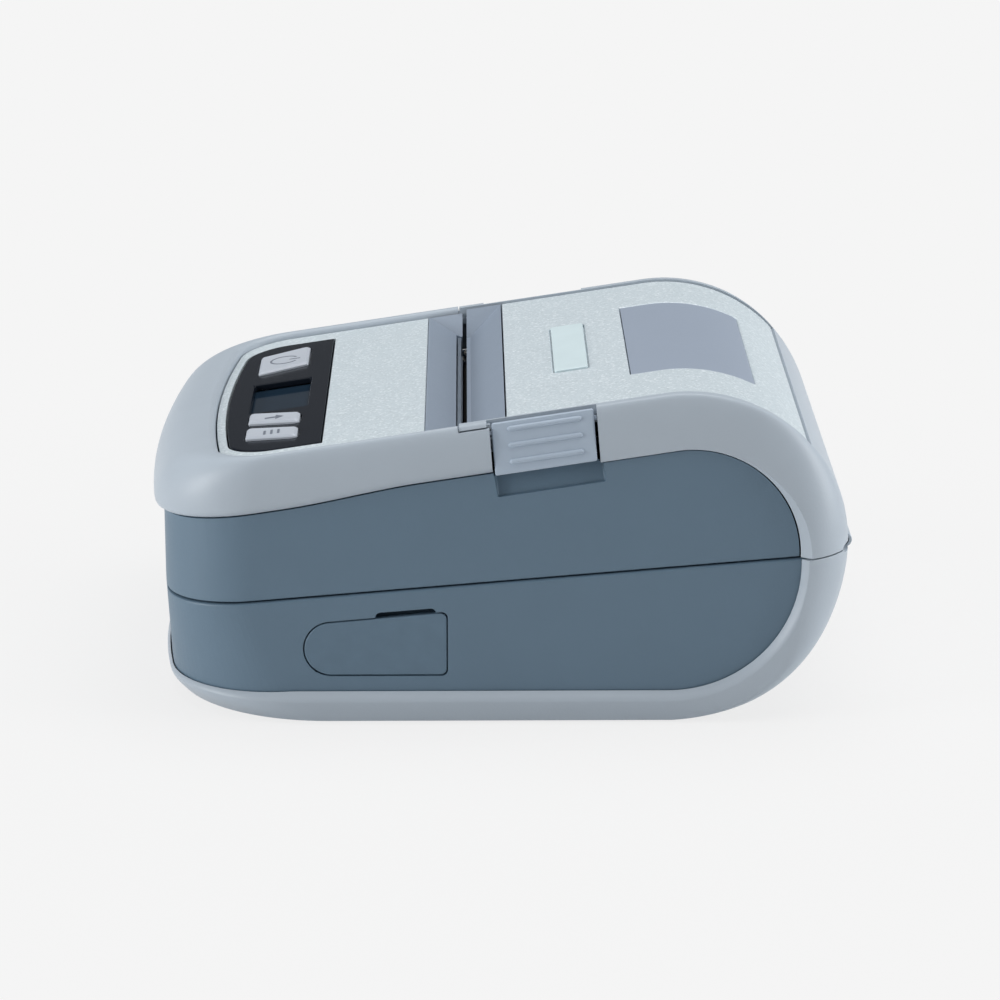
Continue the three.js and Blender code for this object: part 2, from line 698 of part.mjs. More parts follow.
function frontCover() {
  const low = [];
  for (let i = 0; i <= steps.band; i += 1) {
    const x = front + ((band.bendStart - front) * i) / steps.band;
    low.push([x, bandHeight(x)]);
  }
  const region = across(
    polygon([-far, bandHeight(front)], ...low, [far, bandHeight(far)], [far, far], [-far, far]), -width,
    width,
  );
  const opening = deckPlate(planOutline(plan.groove, far), -overrun, overrun);
  const beyond = box(band.end, far, -width, width, 0, far);
  const lidLip = deckBox(alongDeck(lip.front) - gap, far, -width, width, -lip.depth - gap, far);
  const cover = cut(common(domeForm(0), region), domeForm(wall), opening, beyond, lidLip);
  place(base, "front_cover", cover, lightGrey);
}

// Front panel and display bezel
const panelThick = 1.6;
const bezel = { top: -1.1, thickness: 1.2, rearSetback: 34.7, windowNearInset: 30, windowFarInset: 31 };
const bezelRear = front + bezel.rearSetback;
const bezelBottom = bezel.top - bezel.thickness;
const windowSetback = { front: 18.9, rear: 30.8 };
const windowS = [front + windowSetback.front, front + windowSetback.rear];
const windowY = [bezel.windowNearInset - plan.bezel.half, plan.bezel.half - bezel.windowFarInset];
const keySetback = { front: 19.3, rear: 29.8 };
const keySpan = { s0: front + keySetback.front, s1: front + keySetback.rear };

// Both ends of each key's front and rear edges, measured in from the bezel's side
const keyInsets = {
  power: { frontWide: 23.9, frontNarrow: 10.3, rearWide: 20.2, rearNarrow: 6.1 },
  feed: { frontWide: 27.6, frontNarrow: 20.6, rearWide: 23.5, rearNarrow: 17 },
  mode: { frontWide: 16.4, frontNarrow: 9.3, rearWide: 12.4, rearNarrow: 6 },
};

function keyPlace({ frontWide, frontNarrow, rearWide, rearNarrow }, side) {
  const half = plan.bezel.half;
  const upright = {
    frontY: [half - frontWide, half - frontNarrow], rearY: [half - rearWide, half - rearNarrow],
  };
  if (side > 0) return upright;
  return { frontY: upright.frontY.map((y) => -y).reverse(), rearY: upright.rearY.map((y) => -y).reverse() };
}

const keys = {
  power_key: keyPlace(keyInsets.power, 1),
  feed_key: keyPlace(keyInsets.feed, -1),
  mode_key: keyPlace(keyInsets.mode, -1),
};
const key = { top: -0.4, bottom: -4.4, flange: 0.8, flangeThick: 0.6, clearance: 0.25 };

function keyOutline({ frontY, rearY }, grow) {
  return polygon(
    [keySpan.s0 - grow, frontY[0] - grow], [keySpan.s1 + grow, rearY[0] - grow],
    [keySpan.s1 + grow, rearY[1] + grow], [keySpan.s0 - grow, frontY[1] + grow],
  );
}

function frontPanel() {
  const sheet = deckPlate(
    planOutline(plan.groove, alongDeck(troughFront), gap), -deckSink - panelThick, -deckSink,
  );
  const hole = deckPlate(planOutline(plan.bezel, bezelRear + gap, -gap), -overrun, overrun);
  place(base, "front_panel", cut(sheet, hole), silver);
}

function displayBezel() {
  const sheet = deckPlate(planOutline(plan.bezel, bezelRear), bezelBottom, bezel.top);
  const view = deckBox(...windowS, ...windowY, -overrun, overrun);
  const openings = Object.values(keys).map((shape) => (
    deckPlate(keyOutline(shape, key.clearance), -overrun, overrun)
  ));
  place(base, "display_bezel", cut(sheet, view, ...openings), gloss);
}

function controlKeys() {
  for (const [name, shape] of Object.entries(keys)) {
    const cap = deckPlate(keyOutline(shape, 0), key.bottom, key.top);
    const flangeTop = bezelBottom - gap;
    const flange = deckPlate(keyOutline(shape, key.flange), flangeTop - key.flangeThick, flangeTop);
    place(base, name, join(cap, flange), keyGrey);
  }
}

// Display glass, module, board and the rubber mats under the keys
const display = {
  margin: 0.7, glassThick: 0.8, moduleThick: 2.4, boardThick: 1.4, matThick: 0.9, boardMargin: 2.5,
};
const glassTop = bezelBottom - gap;
const moduleTop = glassTop - display.glassThick - gap;
const displayBoardTop = moduleTop - display.moduleThick - gap;

function displayStack() {
  const [s0, s1] = [windowS[0] - display.margin, windowS[1] + display.margin];
  const [y0, y1] = [windowY[0] - display.margin, windowY[1] + display.margin];
  place(
    base, "display_glass", deckBox(s0, s1, y0, y1, glassTop - display.glassThick, glassTop),
    displayGlass,
  );
  const backing = deckBox(s0, s1, y0, y1, moduleTop - display.moduleThick, moduleTop);
  place(base, "display_module", backing, whitePlastic);
  const low = keys.mode_key.rearY[0] - key.flange - display.margin;
  const high = keys.power_key.rearY[1] + key.flange + display.margin;
  const panel = deckBox(
    s0 - display.boardMargin, s1 + display.boardMargin, low, high, displayBoardTop - display.boardThick,
    displayBoardTop,
  );
  place(base, "display_board", panel, boardGreen);
  const matTop = displayBoardTop + gap + display.matThick;
  const mats = {
    power_mat: [keys.power_key.frontY[0], keys.power_key.rearY[1]],
    menu_mat: [keys.mode_key.rearY[0], keys.feed_key.frontY[1]],
  };
  for (const [name, [from, to]] of Object.entries(mats)) {
    const mat = deckBox(keySpan.s0, keySpan.s1, from, to, matTop - display.matThick, matTop);
    place(base, name, mat, rubber);
  }
}

// The V shaped paper exit: its front slope and ledge on the base, its rear slope on the lid, and
// sloping ends
const exit = {
  paperRoom: 2, cheekInset: 5.6, ledgeFront: -8, ledgeRear: -6.9, ledgeDrop: 5, frontBottom: 8.6,
  cheekRise: 1.2,
  slitWidth: 0.9, lidEdge: 1.4, lidDrop: 5.5, lidBottom: 7, barFront: -7.9, barThick: 0.7, barHeight: 4,
  barTeeth: 42,
  toothHeight: 0.6,
};
const exitHalf = rollWidth / 2 + exit.paperRoom;
const cheekHalf = halfWidth - exit.cheekInset;
const slitRear = exit.ledgeRear + exit.slitWidth;
const lidSink = 0.4;

function exitFront() {
  const top = (x) => deckHeight(x) - deckSink / Math.cos(deckTilt);
  const frontX = troughFront + gap;
  const lowZ = deckHeight(frontX) - exit.frontBottom;
  const ledgeZ = deckHeight(exit.ledgeRear) - exit.ledgeDrop;
  const lowX = frontX + (top(frontX) - lowZ) * Math.tan(deckTilt);
  const section = (bottom, ledgeRearZ, ledgeFrontZ) => polygon(
    [lowX, bottom], [exit.ledgeRear, bottom], [exit.ledgeRear, ledgeRearZ], [exit.ledgeFront, ledgeFrontZ],
    [frontX, top(frontX)],
  );
  const slope = section(lowZ, ledgeZ, ledgeZ);
  const end = loft([
    atSide(section(lowZ + exit.cheekRise, ledgeZ, ledgeZ), exitHalf),
    atSide(section(lowZ + exit.cheekRise, top(exit.ledgeRear), top(exit.ledgeFront)), cheekHalf),
  ]);
  const block = join(across(slope, -exitHalf, exitHalf), bothSides(end));
  const slot = box(
    exit.barFront - gap, exit.barFront + exit.barThick + gap, -exitHalf + gap, exitHalf - gap,
    ledgeZ - exit.barHeight - gap, far,
  );
  place(base, "exit_slope_front", cut(block, slot), troughGrey);
  const teeth = [];
  const barHalf = exitHalf - 2 * gap;
  const pitch = (2 * barHalf) / exit.barTeeth;
  const rootZ = ledgeZ - exit.toothHeight;
  for (let i = 0; i < exit.barTeeth; i += 1) {
    const y = -barHalf + pitch * i;
    teeth.push([y, rootZ], [y + pitch / 2, ledgeZ]);
  }
  const edge = polygon(
    [-barHalf, ledgeZ - exit.barHeight], [barHalf, ledgeZ - exit.barHeight], [barHalf, rootZ],
    ...teeth.reverse(),
  );
  const blade = extrusion(edge, exit.barThick).rotateX(quarter).rotateZ(quarter).translate(exit.barFront, 0, 0);
  place(base, "tear_bar", toSolid(blade), steel);
}

function exitRear() {
  const top = (x) => deckHeight(x) - lidSink / Math.cos(deckTilt);
  const lowZ = deckHeight(0) - exit.lidBottom;
  const lipZ = deckHeight(slitRear) - exit.lidDrop;
  const section = (edgeZ) => polygon(
    [slitRear, edgeZ], [exit.lidEdge, top(exit.lidEdge)], [exit.lidEdge, lowZ], [slitRear, lowZ],
  );
  const end = loft([atSide(section(lipZ), exitHalf), atSide(section(top(slitRear)), cheekHalf - gap)]);
  place(
    lid, "exit_slope_lid", join(across(section(lipZ), -exitHalf, exitHalf), bothSides(end)), troughGrey,
  );
}

// Lid: a light arch whose sides and rear surround the silver panel
const lidForm = {
  lowInset: 1.7, topThick: 3.6, cornerFrom: 70, pocket: 2.3, panelInset: 5.4, ledgeInset: 8, panelEnd: 41.5,
  openLead: 20.193, openEnd: 48, slopeEnd: 1.7,
};
const lidPanelHalf = halfWidth - lidForm.panelInset;
const lidLedgeHalf = halfWidth - lidForm.ledgeInset;
const lidPanelEnd = lidForm.panelEnd * degree;
const lidWindow = { lead: 5.793, end: 62.7, half: 28, thickness: 1.3 };
const windowStart = tangentX - lidWindow.lead;
const windowEnd = lidWindow.end * degree;

function lidRing(angle, point, inner) {
  const normal = new THREE.Vector2(Math.cos(angle), Math.sin(angle));
  const offset = new THREE.Vector2(panelUpper.x - crownX, panelUpper.z - seamRearHeight);
  const depth = crownRadius - panelUpper.radius - offset.dot(normal);
  const share = 1 - THREE.MathUtils.smoothstep(angle, 0, lidForm.cornerFrom * degree);
  const low = THREE.MathUtils.lerp(halfWidth - lidForm.lowInset, halfWidth, share);
  const top = THREE.MathUtils.lerp(plan.crest.half, halfWidth - rearCorner, share);
  const side = [];
  for (let j = 0; j <= steps.side + 1; j += 1) {
    const turn = (quarter * j) / (steps.side + 1);
    const y = top + (low - top) * Math.cos(turn) - (inner ? wall : 0);
    const reach = inner ? depth + overrun - lidForm.topThick : depth;
    const down = (inner ? lidForm.topThick : 0) + reach * (1 - Math.sin(turn));
    side.push(new THREE.Vector3(point.x - down * normal.x, y, point.y - down * normal.y));
  }
  const other = side.slice().reverse().map((corner) => new THREE.Vector3(corner.x, -corner.y, corner.z));
  return [...side, ...other];
}

function lidBody(inner) {
  const deckAngle = quarter + deckTilt;
  const start = 2 * lip.front - overrun;
  const rings = [lidRing(deckAngle, new THREE.Vector2(start, deckHeight(start)), inner)];
  const count = steps.arc + 2;
  for (let i = 0; i <= count; i += 1) {
    const angle = deckAngle * (1 - i / count);
    const spot = arcPoints(crownX, seamRearHeight, crownRadius, angle, angle, 1)[0];
    rings.push(lidRing(angle, spot, inner));
  }
  rings.push(lidRing(0, new THREE.Vector2(rear, seamRearHeight - overrun), inner));
  return loft(rings);
}

function lidFrame() {
  const shell = common(cut(lidBody(false), lidBody(true)), aboveSeam());
  const pocket = crownStrip(-overrun, lidForm.pocket, -far / 2, lidPanelEnd, lidPanelHalf);
  const openStart = tangentX - lidForm.openLead;
  const opening = crownStrip(-overrun, 2 * overrun, openStart, lidForm.openEnd * degree, lidLedgeHalf);
  const frontOpening = box(-far, lidForm.slopeEnd, -cheekHalf, cheekHalf, 0, far);
  const bandS = alongDeck(lidBandStart);
  const ahead = box(-far, lip.front, -width, width, 0, far);
  const coverS = alongDeck(band.end) + gap;
  const latchRoom = bothSides(join(
    deckBox(-far, bandS, lip.edgeY, width, -far, -lip.depth),
    deckBox(coverS, bandS, lip.edgeY, width, -far, far),
    deckBox(-far, coverS, plan.groove.half - gap, width, -far, -lip.depth),
    deckBox(-far, bandS, lidLedgeHalf, width, -far, -lidForm.topThick),
  ));
  const ear = bothSides(deckBox(
    coverS, latch.s0 - gap, lidPanelHalf - gap, latch.pivotY + latch.stubRadius + gap, -lidForm.topThick,
    -lip.depth + gap,
  ));
  const earHole = bothSides(latchRod(latch.stubRadius + gap, gap));
  const fixedRoom = bothSides(join(...[innerKnuckle, outerKnuckle].map(([y0, y1]) => (
    rodAcross(hingeX, hingeZ, hinge.knuckleRadius + gap, y0 - gap, y1 + gap)
  ))));
  const knuckles = bothSides(knuckle(lidKnuckle));
  let frame = cut(shell, pocket, opening, frontOpening, ahead, latchRoom, fixedRoom);
  frame = cut(join(frame, knuckles, ear), earHole, hingeHole());
  place(lid, "lid_frame", frame, lightGrey);
}

const label = { ahead: 8.1, length: 6.7, half: 18.2, pocket: 0.6, thickness: 0.7, proud: 0.4 };
const labelRear = windowStart - label.ahead;

function lidPanel() {
  const sheet = crownStrip(
    lidSink, lidSink + panelThick, lidForm.slopeEnd, lidPanelEnd + gap / crownRadius, lidPanelHalf - gap,
  );
  const view = crownStrip(-overrun, overrun, windowStart, windowEnd, lidWindow.half);
  const [s0, s1] = [alongDeck(labelRear - label.length), alongDeck(labelRear)];
  const pocket = deckBox(
    s0 - gap, s1 + gap, -label.half - gap, label.half + gap, -lidSink - label.pocket, far,
  );
  place(lid, "lid_panel", cut(sheet, view, pocket), silver);
  const plate = deckBox(
    s0, s1, -label.half, label.half, -lidSink + label.proud - label.thickness, -lidSink + label.proud,
  );
  place(lid, "label_plate", plate, blankPlate);
  const pane = crownStrip(
    lidSink, lidSink + lidWindow.thickness, windowStart + gap, windowEnd + gap / crownRadius,
    lidWindow.half - gap,
  );
  place(lid, "lid_window", pane, windowTint);
}

// Print mechanism: platen roller under the lid's front edge, head and gear train in the base
const platen = {
  radius: 5.5, overhang: 0.6, drop: 14.045, paperRoom: 0.7, shaftRadius: 1.5, bushRadius: 3.2, bushInset: 1,
  bushLength: 3.1,
};
const platenX = slitRear - platen.paperRoom + platen.radius;
const platenZ = deckHeight(0) - platen.drop;
const platenHalf = rollWidth / 2 + platen.overhang;
const bushInner = rollWidth / 2 + platen.bushInset;
const bushOuter = bushInner + platen.bushLength;
const module = 0.5;
const toothShare = { addendum: 0.8, dedendum: 1.1, root: 0.29, tip: 0.11 };
const gearTeeth = { platen: 24, upper: 26, lower: 20, pinion: 12 };
const gearSize = { inset: 4.4, thickness: 2.8 };
const gearY = [rollWidth / 2 + gearSize.inset, rollWidth / 2 + gearSize.inset + gearSize.thickness];
const train = 266.3 * degree;
const postRadius = 1;

function pitchRadius(teeth) {
  return (module * teeth) / 2;
}

function trainPoint(reach) {
  return new THREE.Vector2(platenX + reach * Math.cos(train), platenZ + reach * Math.sin(train));
}

const upperReach = pitchRadius(gearTeeth.platen) + pitchRadius(gearTeeth.upper);
const lowerReach = upperReach + pitchRadius(gearTeeth.upper) + pitchRadius(gearTeeth.lower);
const pinionReach = lowerReach + pitchRadius(gearTeeth.lower) + pitchRadius(gearTeeth.pinion);
const gearSpots = {
  upper: trainPoint(upperReach), lower: trainPoint(lowerReach), pinion: trainPoint(pinionReach),
};

// A spur gear about Y; a tooth, or with gapFirst a gap, points along the line of centres
function gear(teeth, bore, gapFirst) {
  const pitch = (2 * Math.PI) / teeth;
  const tip = pitchRadius(teeth) + toothShare.addendum * module;
  const root = pitchRadius(teeth) - toothShare.dedendum * module;
  const flank = [
    [-toothShare.root, root], [-toothShare.tip, tip], [toothShare.tip, tip], [toothShare.root, root],
  ];
  const points = [];
  for (let i = 0; i < teeth; i += 1) {
    const middle = train + pitch * (gapFirst ? i + 1 / 2 : i);
    flank.forEach(([share, radius]) => {
      const angle = middle + pitch * share;
      points.push(new THREE.Vector2(radius * Math.cos(angle), radius * Math.sin(angle)));
    });
  }
  const wheel = across(points, gearY[0], gearY[1]);
  return bore > 0 ? cut(wheel, rodAcross(0, 0, bore, gearY[0] - overrun, gearY[1] + overrun)) : wheel;
}

function gearTrain() {
  const at = (spot) => new THREE.Vector3(spot.x, 0, spot.y);
  const platenSpot = new THREE.Vector2(platenX, platenZ);
  place(
    lid, "platen_gear", gear(gearTeeth.platen, platen.shaftRadius + gap, false), whitePlastic,
    at(platenSpot),
  );
  place(
    base, "upper_gear", gear(gearTeeth.upper, postRadius + gap, true), whitePlastic,
    at(gearSpots.upper),
  );
  place(
    base, "lower_gear", gear(gearTeeth.lower, postRadius + gap, false), whitePlastic,
    at(gearSpots.lower),
  );
  const stub = rodAcross(0, 0, postRadius, sidePlateInner, gearY[0] + gap);
  place(base, "motor_pinion", join(gear(gearTeeth.pinion, 0, true), stub), steel, at(gearSpots.pinion));
}

const sidePlateTop = platenZ + sidePlate.rise;
const lugY = halfWidth - latchInset.lug;
const head = {
  faceGap: 0.35, thick: 1, drop: 6, rise: 3, overhang: 0.4, sinkThick: 2.7, sinkDrop: 16, pivotDrop: 14,
  pivotRadius: 1,
  pivotEye: 2.3, springThick: 0.4, springDrop: 9, springRise: 1, springNoseDrop: 2,
};
const headLow = platenZ - head.drop;
const headHigh = platenZ + head.rise;
const headHalf = rollWidth / 2 + head.overhang;
const pivotZ = platenZ - head.pivotDrop;
const headFace = platenX - platen.radius - head.faceGap;
const sinkRear = headFace - head.thick - gap;
const sinkFront = sinkRear - head.sinkThick;
const pivotX = (sinkFront + sinkRear) / 2;

function mechanismFrame() {
  const plateOutline = polygon(
    [sidePlate.x0, floorTop + gap], [sidePlate.x1, floorTop + gap], [sidePlate.x1, sidePlateTop],
    [sidePlate.x0, sidePlateTop],
  );
  const [lug0, lug1] = [latch.nibStart - gap, latch.nibEnd + gap];
  const plate = join(
    across(plateOutline, sidePlateInner, sidePlateOuter),
    deckBox(
      lug0, lug1, sidePlateInner, sidePlateOuter, sidePlateTop - deckHeight(0) - overrun,
      sidePlate.lugTop,
    ),
    deckBox(lug0, lug1, sidePlateInner, lugY, sidePlate.lugBottom, sidePlate.lugTop),
  );
  const slotHalf = platen.bushRadius + gap;
  const slot = join(
    rodAcross(platenX, platenZ, slotHalf, sidePlateInner - gap, sidePlateOuter + gap, 2 * steps.pin),
    across(polygon(
      [platenX - slotHalf, platenZ], [platenX + slotHalf, platenZ],
      [platenX + slotHalf + sidePlate.slotLead, sidePlateTop + gap],
      [platenX - slotHalf, sidePlateTop + gap],
    ), sidePlateInner - gap, sidePlateOuter + gap),
  );
  const pivotHole = rodAcross(pivotX, pivotZ, head.pivotRadius + gap, -width, width);
  const beam = box(
    sidePlate.x0, sidePlate.x0 + sidePlate.beam, -sidePlateOuter, sidePlateOuter,
    platenZ - sidePlate.beamDrop,
    sidePlateTop,
  );
  const posts = [gearSpots.upper, gearSpots.lower].map((spot) => (
    rodAcross(spot.x, spot.y, postRadius, sidePlateInner, gearY[1])
  ));
  const shaftHole = rodAcross(
    gearSpots.pinion.x, gearSpots.pinion.y, postRadius + gap, sidePlateInner - gap, sidePlateOuter + gap,
  );
  const frame = join(bothSides(cut(plate, slot)), beam, ...posts);
  place(base, "mechanism_frame", cut(frame, pivotHole, shaftHole), steel);
}

const motor = { radius: 10, length: 20, sides: 20 };

function driveMotor() {
  const spot = gearSpots.pinion;
  const end = sidePlateInner - gap;
  place(
    base, "stepper_motor",
    rodAcross(spot.x, spot.y, motor.radius, end - motor.length, end, motor.sides), steel,
  );
}

function printHead() {
  const strip = box(headFace - head.thick, headFace, -headHalf, headHalf, headLow, headHigh);
  place(base, "print_head", strip, ceramic);
  const sink = join(
    box(sinkFront, sinkRear, -headHalf, headHalf, platenZ - head.sinkDrop, headHigh),
    rodAcross(pivotX, pivotZ, head.pivotEye, -headHalf, headHalf),
  );
  const eye = rodAcross(pivotX, pivotZ, head.pivotRadius + gap, -width, width);
  place(base, "head_sink", cut(sink, eye), aluminium);
  place(
    base, "head_shaft", rodAcross(pivotX, pivotZ, head.pivotRadius, -sidePlateOuter, sidePlateOuter),
    steel,
  );
  const back = sidePlate.x0 + sidePlate.beam + gap;
  const nose = sinkFront - gap;
  const thin = head.springThick;
  const springLow = platenZ - head.springDrop;
  const springHigh = platenZ + head.springRise;
  const noseZ = platenZ - head.springNoseDrop;
  const leaf = polygon(
    [back, springLow], [back + thin, springLow], [nose, noseZ], [back + thin, springHigh],
    [back, springHigh],
    [nose - thin, noseZ],
  );
  place(base, "head_spring", across(leaf, -headHalf / 2, headHalf / 2), steel);
}

function platenRoller() {
  const shaft = rodAcross(platenX, platenZ, platen.shaftRadius, -bushOuter - gap, gearY[1] + gap);
  place(lid, "platen_shaft", shaft, steel);
  const sleeve = cut(
    rodAcross(platenX, platenZ, platen.radius, -platenHalf, platenHalf, steps.roller),
    rodAcross(platenX, platenZ, platen.shaftRadius + gap, -width, width),
  );
  place(lid, "platen_roller", sleeve, rubber);
  const bush = cut(
    rodAcross(platenX, platenZ, platen.bushRadius, bushInner, bushOuter, 2 * steps.pin),
    rodAcross(platenX, platenZ, platen.shaftRadius + gap, -width, width),
  );
  place(lid, "platen_bush_far", bush, blackPlastic);
  place(lid, "platen_bush_near", mirrored(bush), blackPlastic);
}

// Platen carrier: two arms and a beam that hang the roller from the lid
const carrier = { armInset: 1.3, armThick: 0.9, front: -4.8, rear: 11, drop: 4, beamFront: 7, beamRise: 4 };

function platenCarrier() {
  const armInner = rollWidth / 2 + carrier.armInset;
  const armOuter = armInner + carrier.armThick;
  const armLow = platenZ - carrier.drop;
  const beamLow = platenZ + carrier.beamRise;
  const under = (x) => deckHeight(x) - (lidForm.topThick + gap) / Math.cos(deckTilt);
  const shoulder = exit.lidEdge + gap;
  const chinZ = deckHeight(0) - exit.lidBottom - gap;
  const arm = polygon(
    [carrier.front, armLow], [carrier.rear, armLow], [carrier.rear, under(carrier.rear)],
    [shoulder, under(shoulder)], [shoulder, chinZ], [carrier.front, chinZ],
  );
  const beam = polygon(
    [carrier.beamFront, beamLow], [carrier.rear, beamLow], [carrier.rear, under(carrier.rear)],
    [carrier.beamFront, under(carrier.beamFront)],
  );
  const seat = rodAcross(platenX, platenZ, platen.bushRadius + gap, -width, width, 2 * steps.pin);
  const body = join(bothSides(across(arm, armInner, armOuter)), across(beam, -armOuter, armOuter));
  place(lid, "platen_carrier", cut(body, seat), blackPlastic);
}

// Paper bay: the tub that the roll lies in
const baySize = {
  shiftX: 1.5, shiftZ: 0.3, room: 4.7, skin: 1.2, frontAngle: 163, endDrop: 5.3, ribInset: 29, ribThick: 2,
};
const bay = {
  x: crownX - baySize.shiftX, z: seamRearHeight - baySize.shiftZ, radius: crownRadius - baySize.room,
  skin: baySize.skin,
  endTop: seamRearHeight - baySize.endDrop, ribY: halfWidth - baySize.ribInset,
};

function paperBay() {
  const half = rollWidth / 2 + bay.skin;
  const outer = bay.radius + bay.skin;
  const [from, to] = [baySize.frontAngle * degree, 2 * Math.PI];
  const count = 2 * steps.arc;
  const strip = [
    ...arcPoints(bay.x, bay.z, outer, from, to, count),
    ...arcPoints(bay.x, bay.z, bay.radius, to, from, count),
  ];
  const sink = Math.asin((bay.z - bay.endTop) / outer);
  const end = arcPoints(bay.x, bay.z, outer, Math.PI + sink, 2 * Math.PI - sink, count);
  const rib = box(
    bay.x - bay.radius / 2, bay.x + bay.radius / 2, bay.ribY, bay.ribY + baySize.ribThick, floorTop + gap,
    bay.z - bay.radius - gap,
  );
  const tub = join(
    across(strip, -half, half),
    bothSides(across(end, half - gap, half + bay.skin - gap)),
    bothSides(rib),
  );
  const hollow = rodAcross(bay.x, bay.z, bay.radius, -half + gap, half - gap, 4 * steps.arc);
  place(base, "paper_bay", common(cut(tub, hollow), lowerCaseForm(-wall - gap)), blackPlastic);
}

// Boards and sockets
const chipShares = [
  { x: -0.214, y: -0.333, long: 0.286, wide: 0.286, high: 0.033 },
  { x: 0.214, y: 0.238, long: 0.214, wide: 0.167, high: 0.038 },
  { x: -0.31, y: 0.524, long: 0.143, wide: 0.333, high: 0.076 },
  { x: 0.31, y: -0.476, long: 0.119, wide: 0.381, high: 0.105 },
];

function mainBoardPiece() {
  const { x0, x1, half, cornerCut } = mainBoard;
  const outline = polygon(
    [x0 + cornerCut, -half], [x1, -half], [x1, half], [x0 + cornerCut, half], [x0, half - cornerCut],
    [x0, -half + cornerCut],
  );
  const top = mainBoardBottom + mainBoard.thickness;
  const span = x1 - x0;
  const middle = (x0 + x1) / 2;
  const parts = chipShares.map((share) => box(
    middle + span * (share.x - share.long / 2), middle + span * (share.x + share.long / 2),
    span * (share.y - share.wide / 2), span * (share.y + share.wide / 2), top - gap,
    top + span * share.high,
  ));
  place(base, "main_board", join(upright(outline, mainBoardBottom, top), ...parts), boardGreen);
}

function portBoard() {
  const bottom = portBoardTop - ports.boardThick;
  const strip = box(
    ports.boardFront, ports.boardRear, portFace, portFace + ports.boardDepth, bottom, portBoardTop,
  );
  place(base, "port_board", strip, boardGreen);
  const jackBottom = portBoardTop + gap;
  const bore = rodAcross(
    ports.jackX, ports.jackZ, ports.jackBore, portFace - gap, portFace + ports.jackDepth - wall,
  );
  const pin = rodAcross(
    ports.jackX, ports.jackZ, ports.jackPin, portFace + ports.pinInset, portFace + ports.jackDepth,
  );
  const jack = box(
    ports.jackX - ports.jackWidth / 2, ports.jackX + ports.jackWidth / 2, portFace,
    portFace + ports.jackDepth,
    jackBottom, jackBottom + ports.jackHeight,
  );
  place(base, "dc_jack", join(cut(jack, bore), pin), blackPlastic);
  const usbHalf = ports.usbWidth / 2;
  const shellBox = box(
    ports.usbX - usbHalf, ports.usbX + usbHalf, portFace, portFace + ports.usbDepth,
    usbZ - ports.usbHeight / 2, usbZ + ports.usbHeight / 2,
  );
  const skin = ports.usbShell;
  const hollow = box(
    ports.usbX - usbHalf + skin, ports.usbX + usbHalf - skin, portFace - gap,
    portFace + ports.usbDepth - wall,
    usbZ - ports.usbHeight / 2 + skin, usbZ + ports.usbHeight / 2 - skin,
  );
  const tongue = box(
    ports.usbX - usbHalf / 2, ports.usbX + usbHalf / 2, portFace + ports.pinInset,
    portFace + ports.usbDepth - gap,
    usbZ - ports.usbTongue / 2, usbZ + ports.usbTongue / 2,
  );
  place(base, "usb_socket", join(cut(shellBox, hollow), tongue), steel);
}

function portCover() {
  const face = -plan.lowerSeam.half;
  const plate = across(flapOutline(0), face, face + flap.thickness);
  const plugEnd = face + flap.thickness + flap.plugLength;
  const plug = rodAcross(ports.jackX, ports.jackZ, ports.jackBore - flap.plugMargin, face + gap, plugEnd);
  const usbPlug = box(
    ports.usbX - ports.usbWidth / 4, ports.usbX + ports.usbWidth / 4, face + gap, plugEnd,
    usbZ - ports.usbHeight / 4, usbZ + ports.usbHeight / 4,
  );
  place(base, "port_cover", join(plate, plug, usbPlug), slateRubber);
}

function batteryParts() {
  const edge = wall / 2;
  const { x0, x1, y0, y1 } = battery;
  const outline = polygon(
    [x0 + edge, y0], [x1 - edge, y0], [x1, y0 + edge], [x1, y1 - edge], [x1 - edge, y1], [x0 + edge, y1],
    [x0, y1 - edge], [x0, y0 + edge],
  );
  place(
    base, "battery_pack", upright(outline, batteryBottom, batteryBottom + battery.height), blackPlastic,
  );
  const side = [
    ...polygon([door.x0, caseBottom]),
    ...arcPoints(doorX, doorZ, door.thickness / 2, -quarter, quarter, steps.corner),
    ...polygon([door.x0, caseBottom + door.thickness]),
  ];
  const stub = rodAcross(
    doorX, doorZ, door.stubRadius, door.y0 - door.stubLength, door.y1 + door.stubLength,
  );
  const middle = (door.y0 + door.y1) / 2;
  const grip = box(
    door.x0 + wall, door.x0 + 2 * wall, middle - door.grip / 2, middle + door.grip / 2, 0,
    caseBottom + wall / 4,
  );
  place(base, "battery_door", cut(join(across(side, door.y0, door.y1), stub), grip), slate);
}

function smallParts() {
  const pad = rodUp(0, 0, foot.radius, 0, foot.height, 2 * steps.pin);
  fourPlaces(footPlaces).forEach(([x, y], i) => {
    const name = `foot_${i < 2 ? "front" : "rear"}_${i % 2 ? "far" : "near"}`;
    place(base, name, pad, rubber, new THREE.Vector3(x, y, 0));
  });
  fourPlaces(screwPlaces).forEach(([x, y], i) => {
    const headTop = screwHeadBottom + screw.headHeight;
    const body = join(
      rodUp(0, 0, screw.headRadius, screwHeadBottom, headTop),
      rodUp(0, 0, screw.shankRadius, headTop - gap, seamHeight(x) + screw.rise),
    );
    const slotHalf = screw.headRadius / 2;
    const socket = box(-slotHalf, slotHalf, -gap, gap, 0, screwHeadBottom + gap);
    const name = `case_screw_${i < 2 ? "front" : "rear"}_${i % 2 ? "far" : "near"}`;
    place(base, name, cut(body, socket), steel, new THREE.Vector3(x, y, 0));
  });
  [["near", -1], ["far", 1]].forEach(([side, way]) => {
    const pin = rodAcross(hingeX, hingeZ, hinge.pinRadius, innerKnuckle[0], outerKnuckle[1]);
    place(base, `hinge_pin_${side}`, way < 0 ? mirrored(pin) : pin, steel);
  });
}

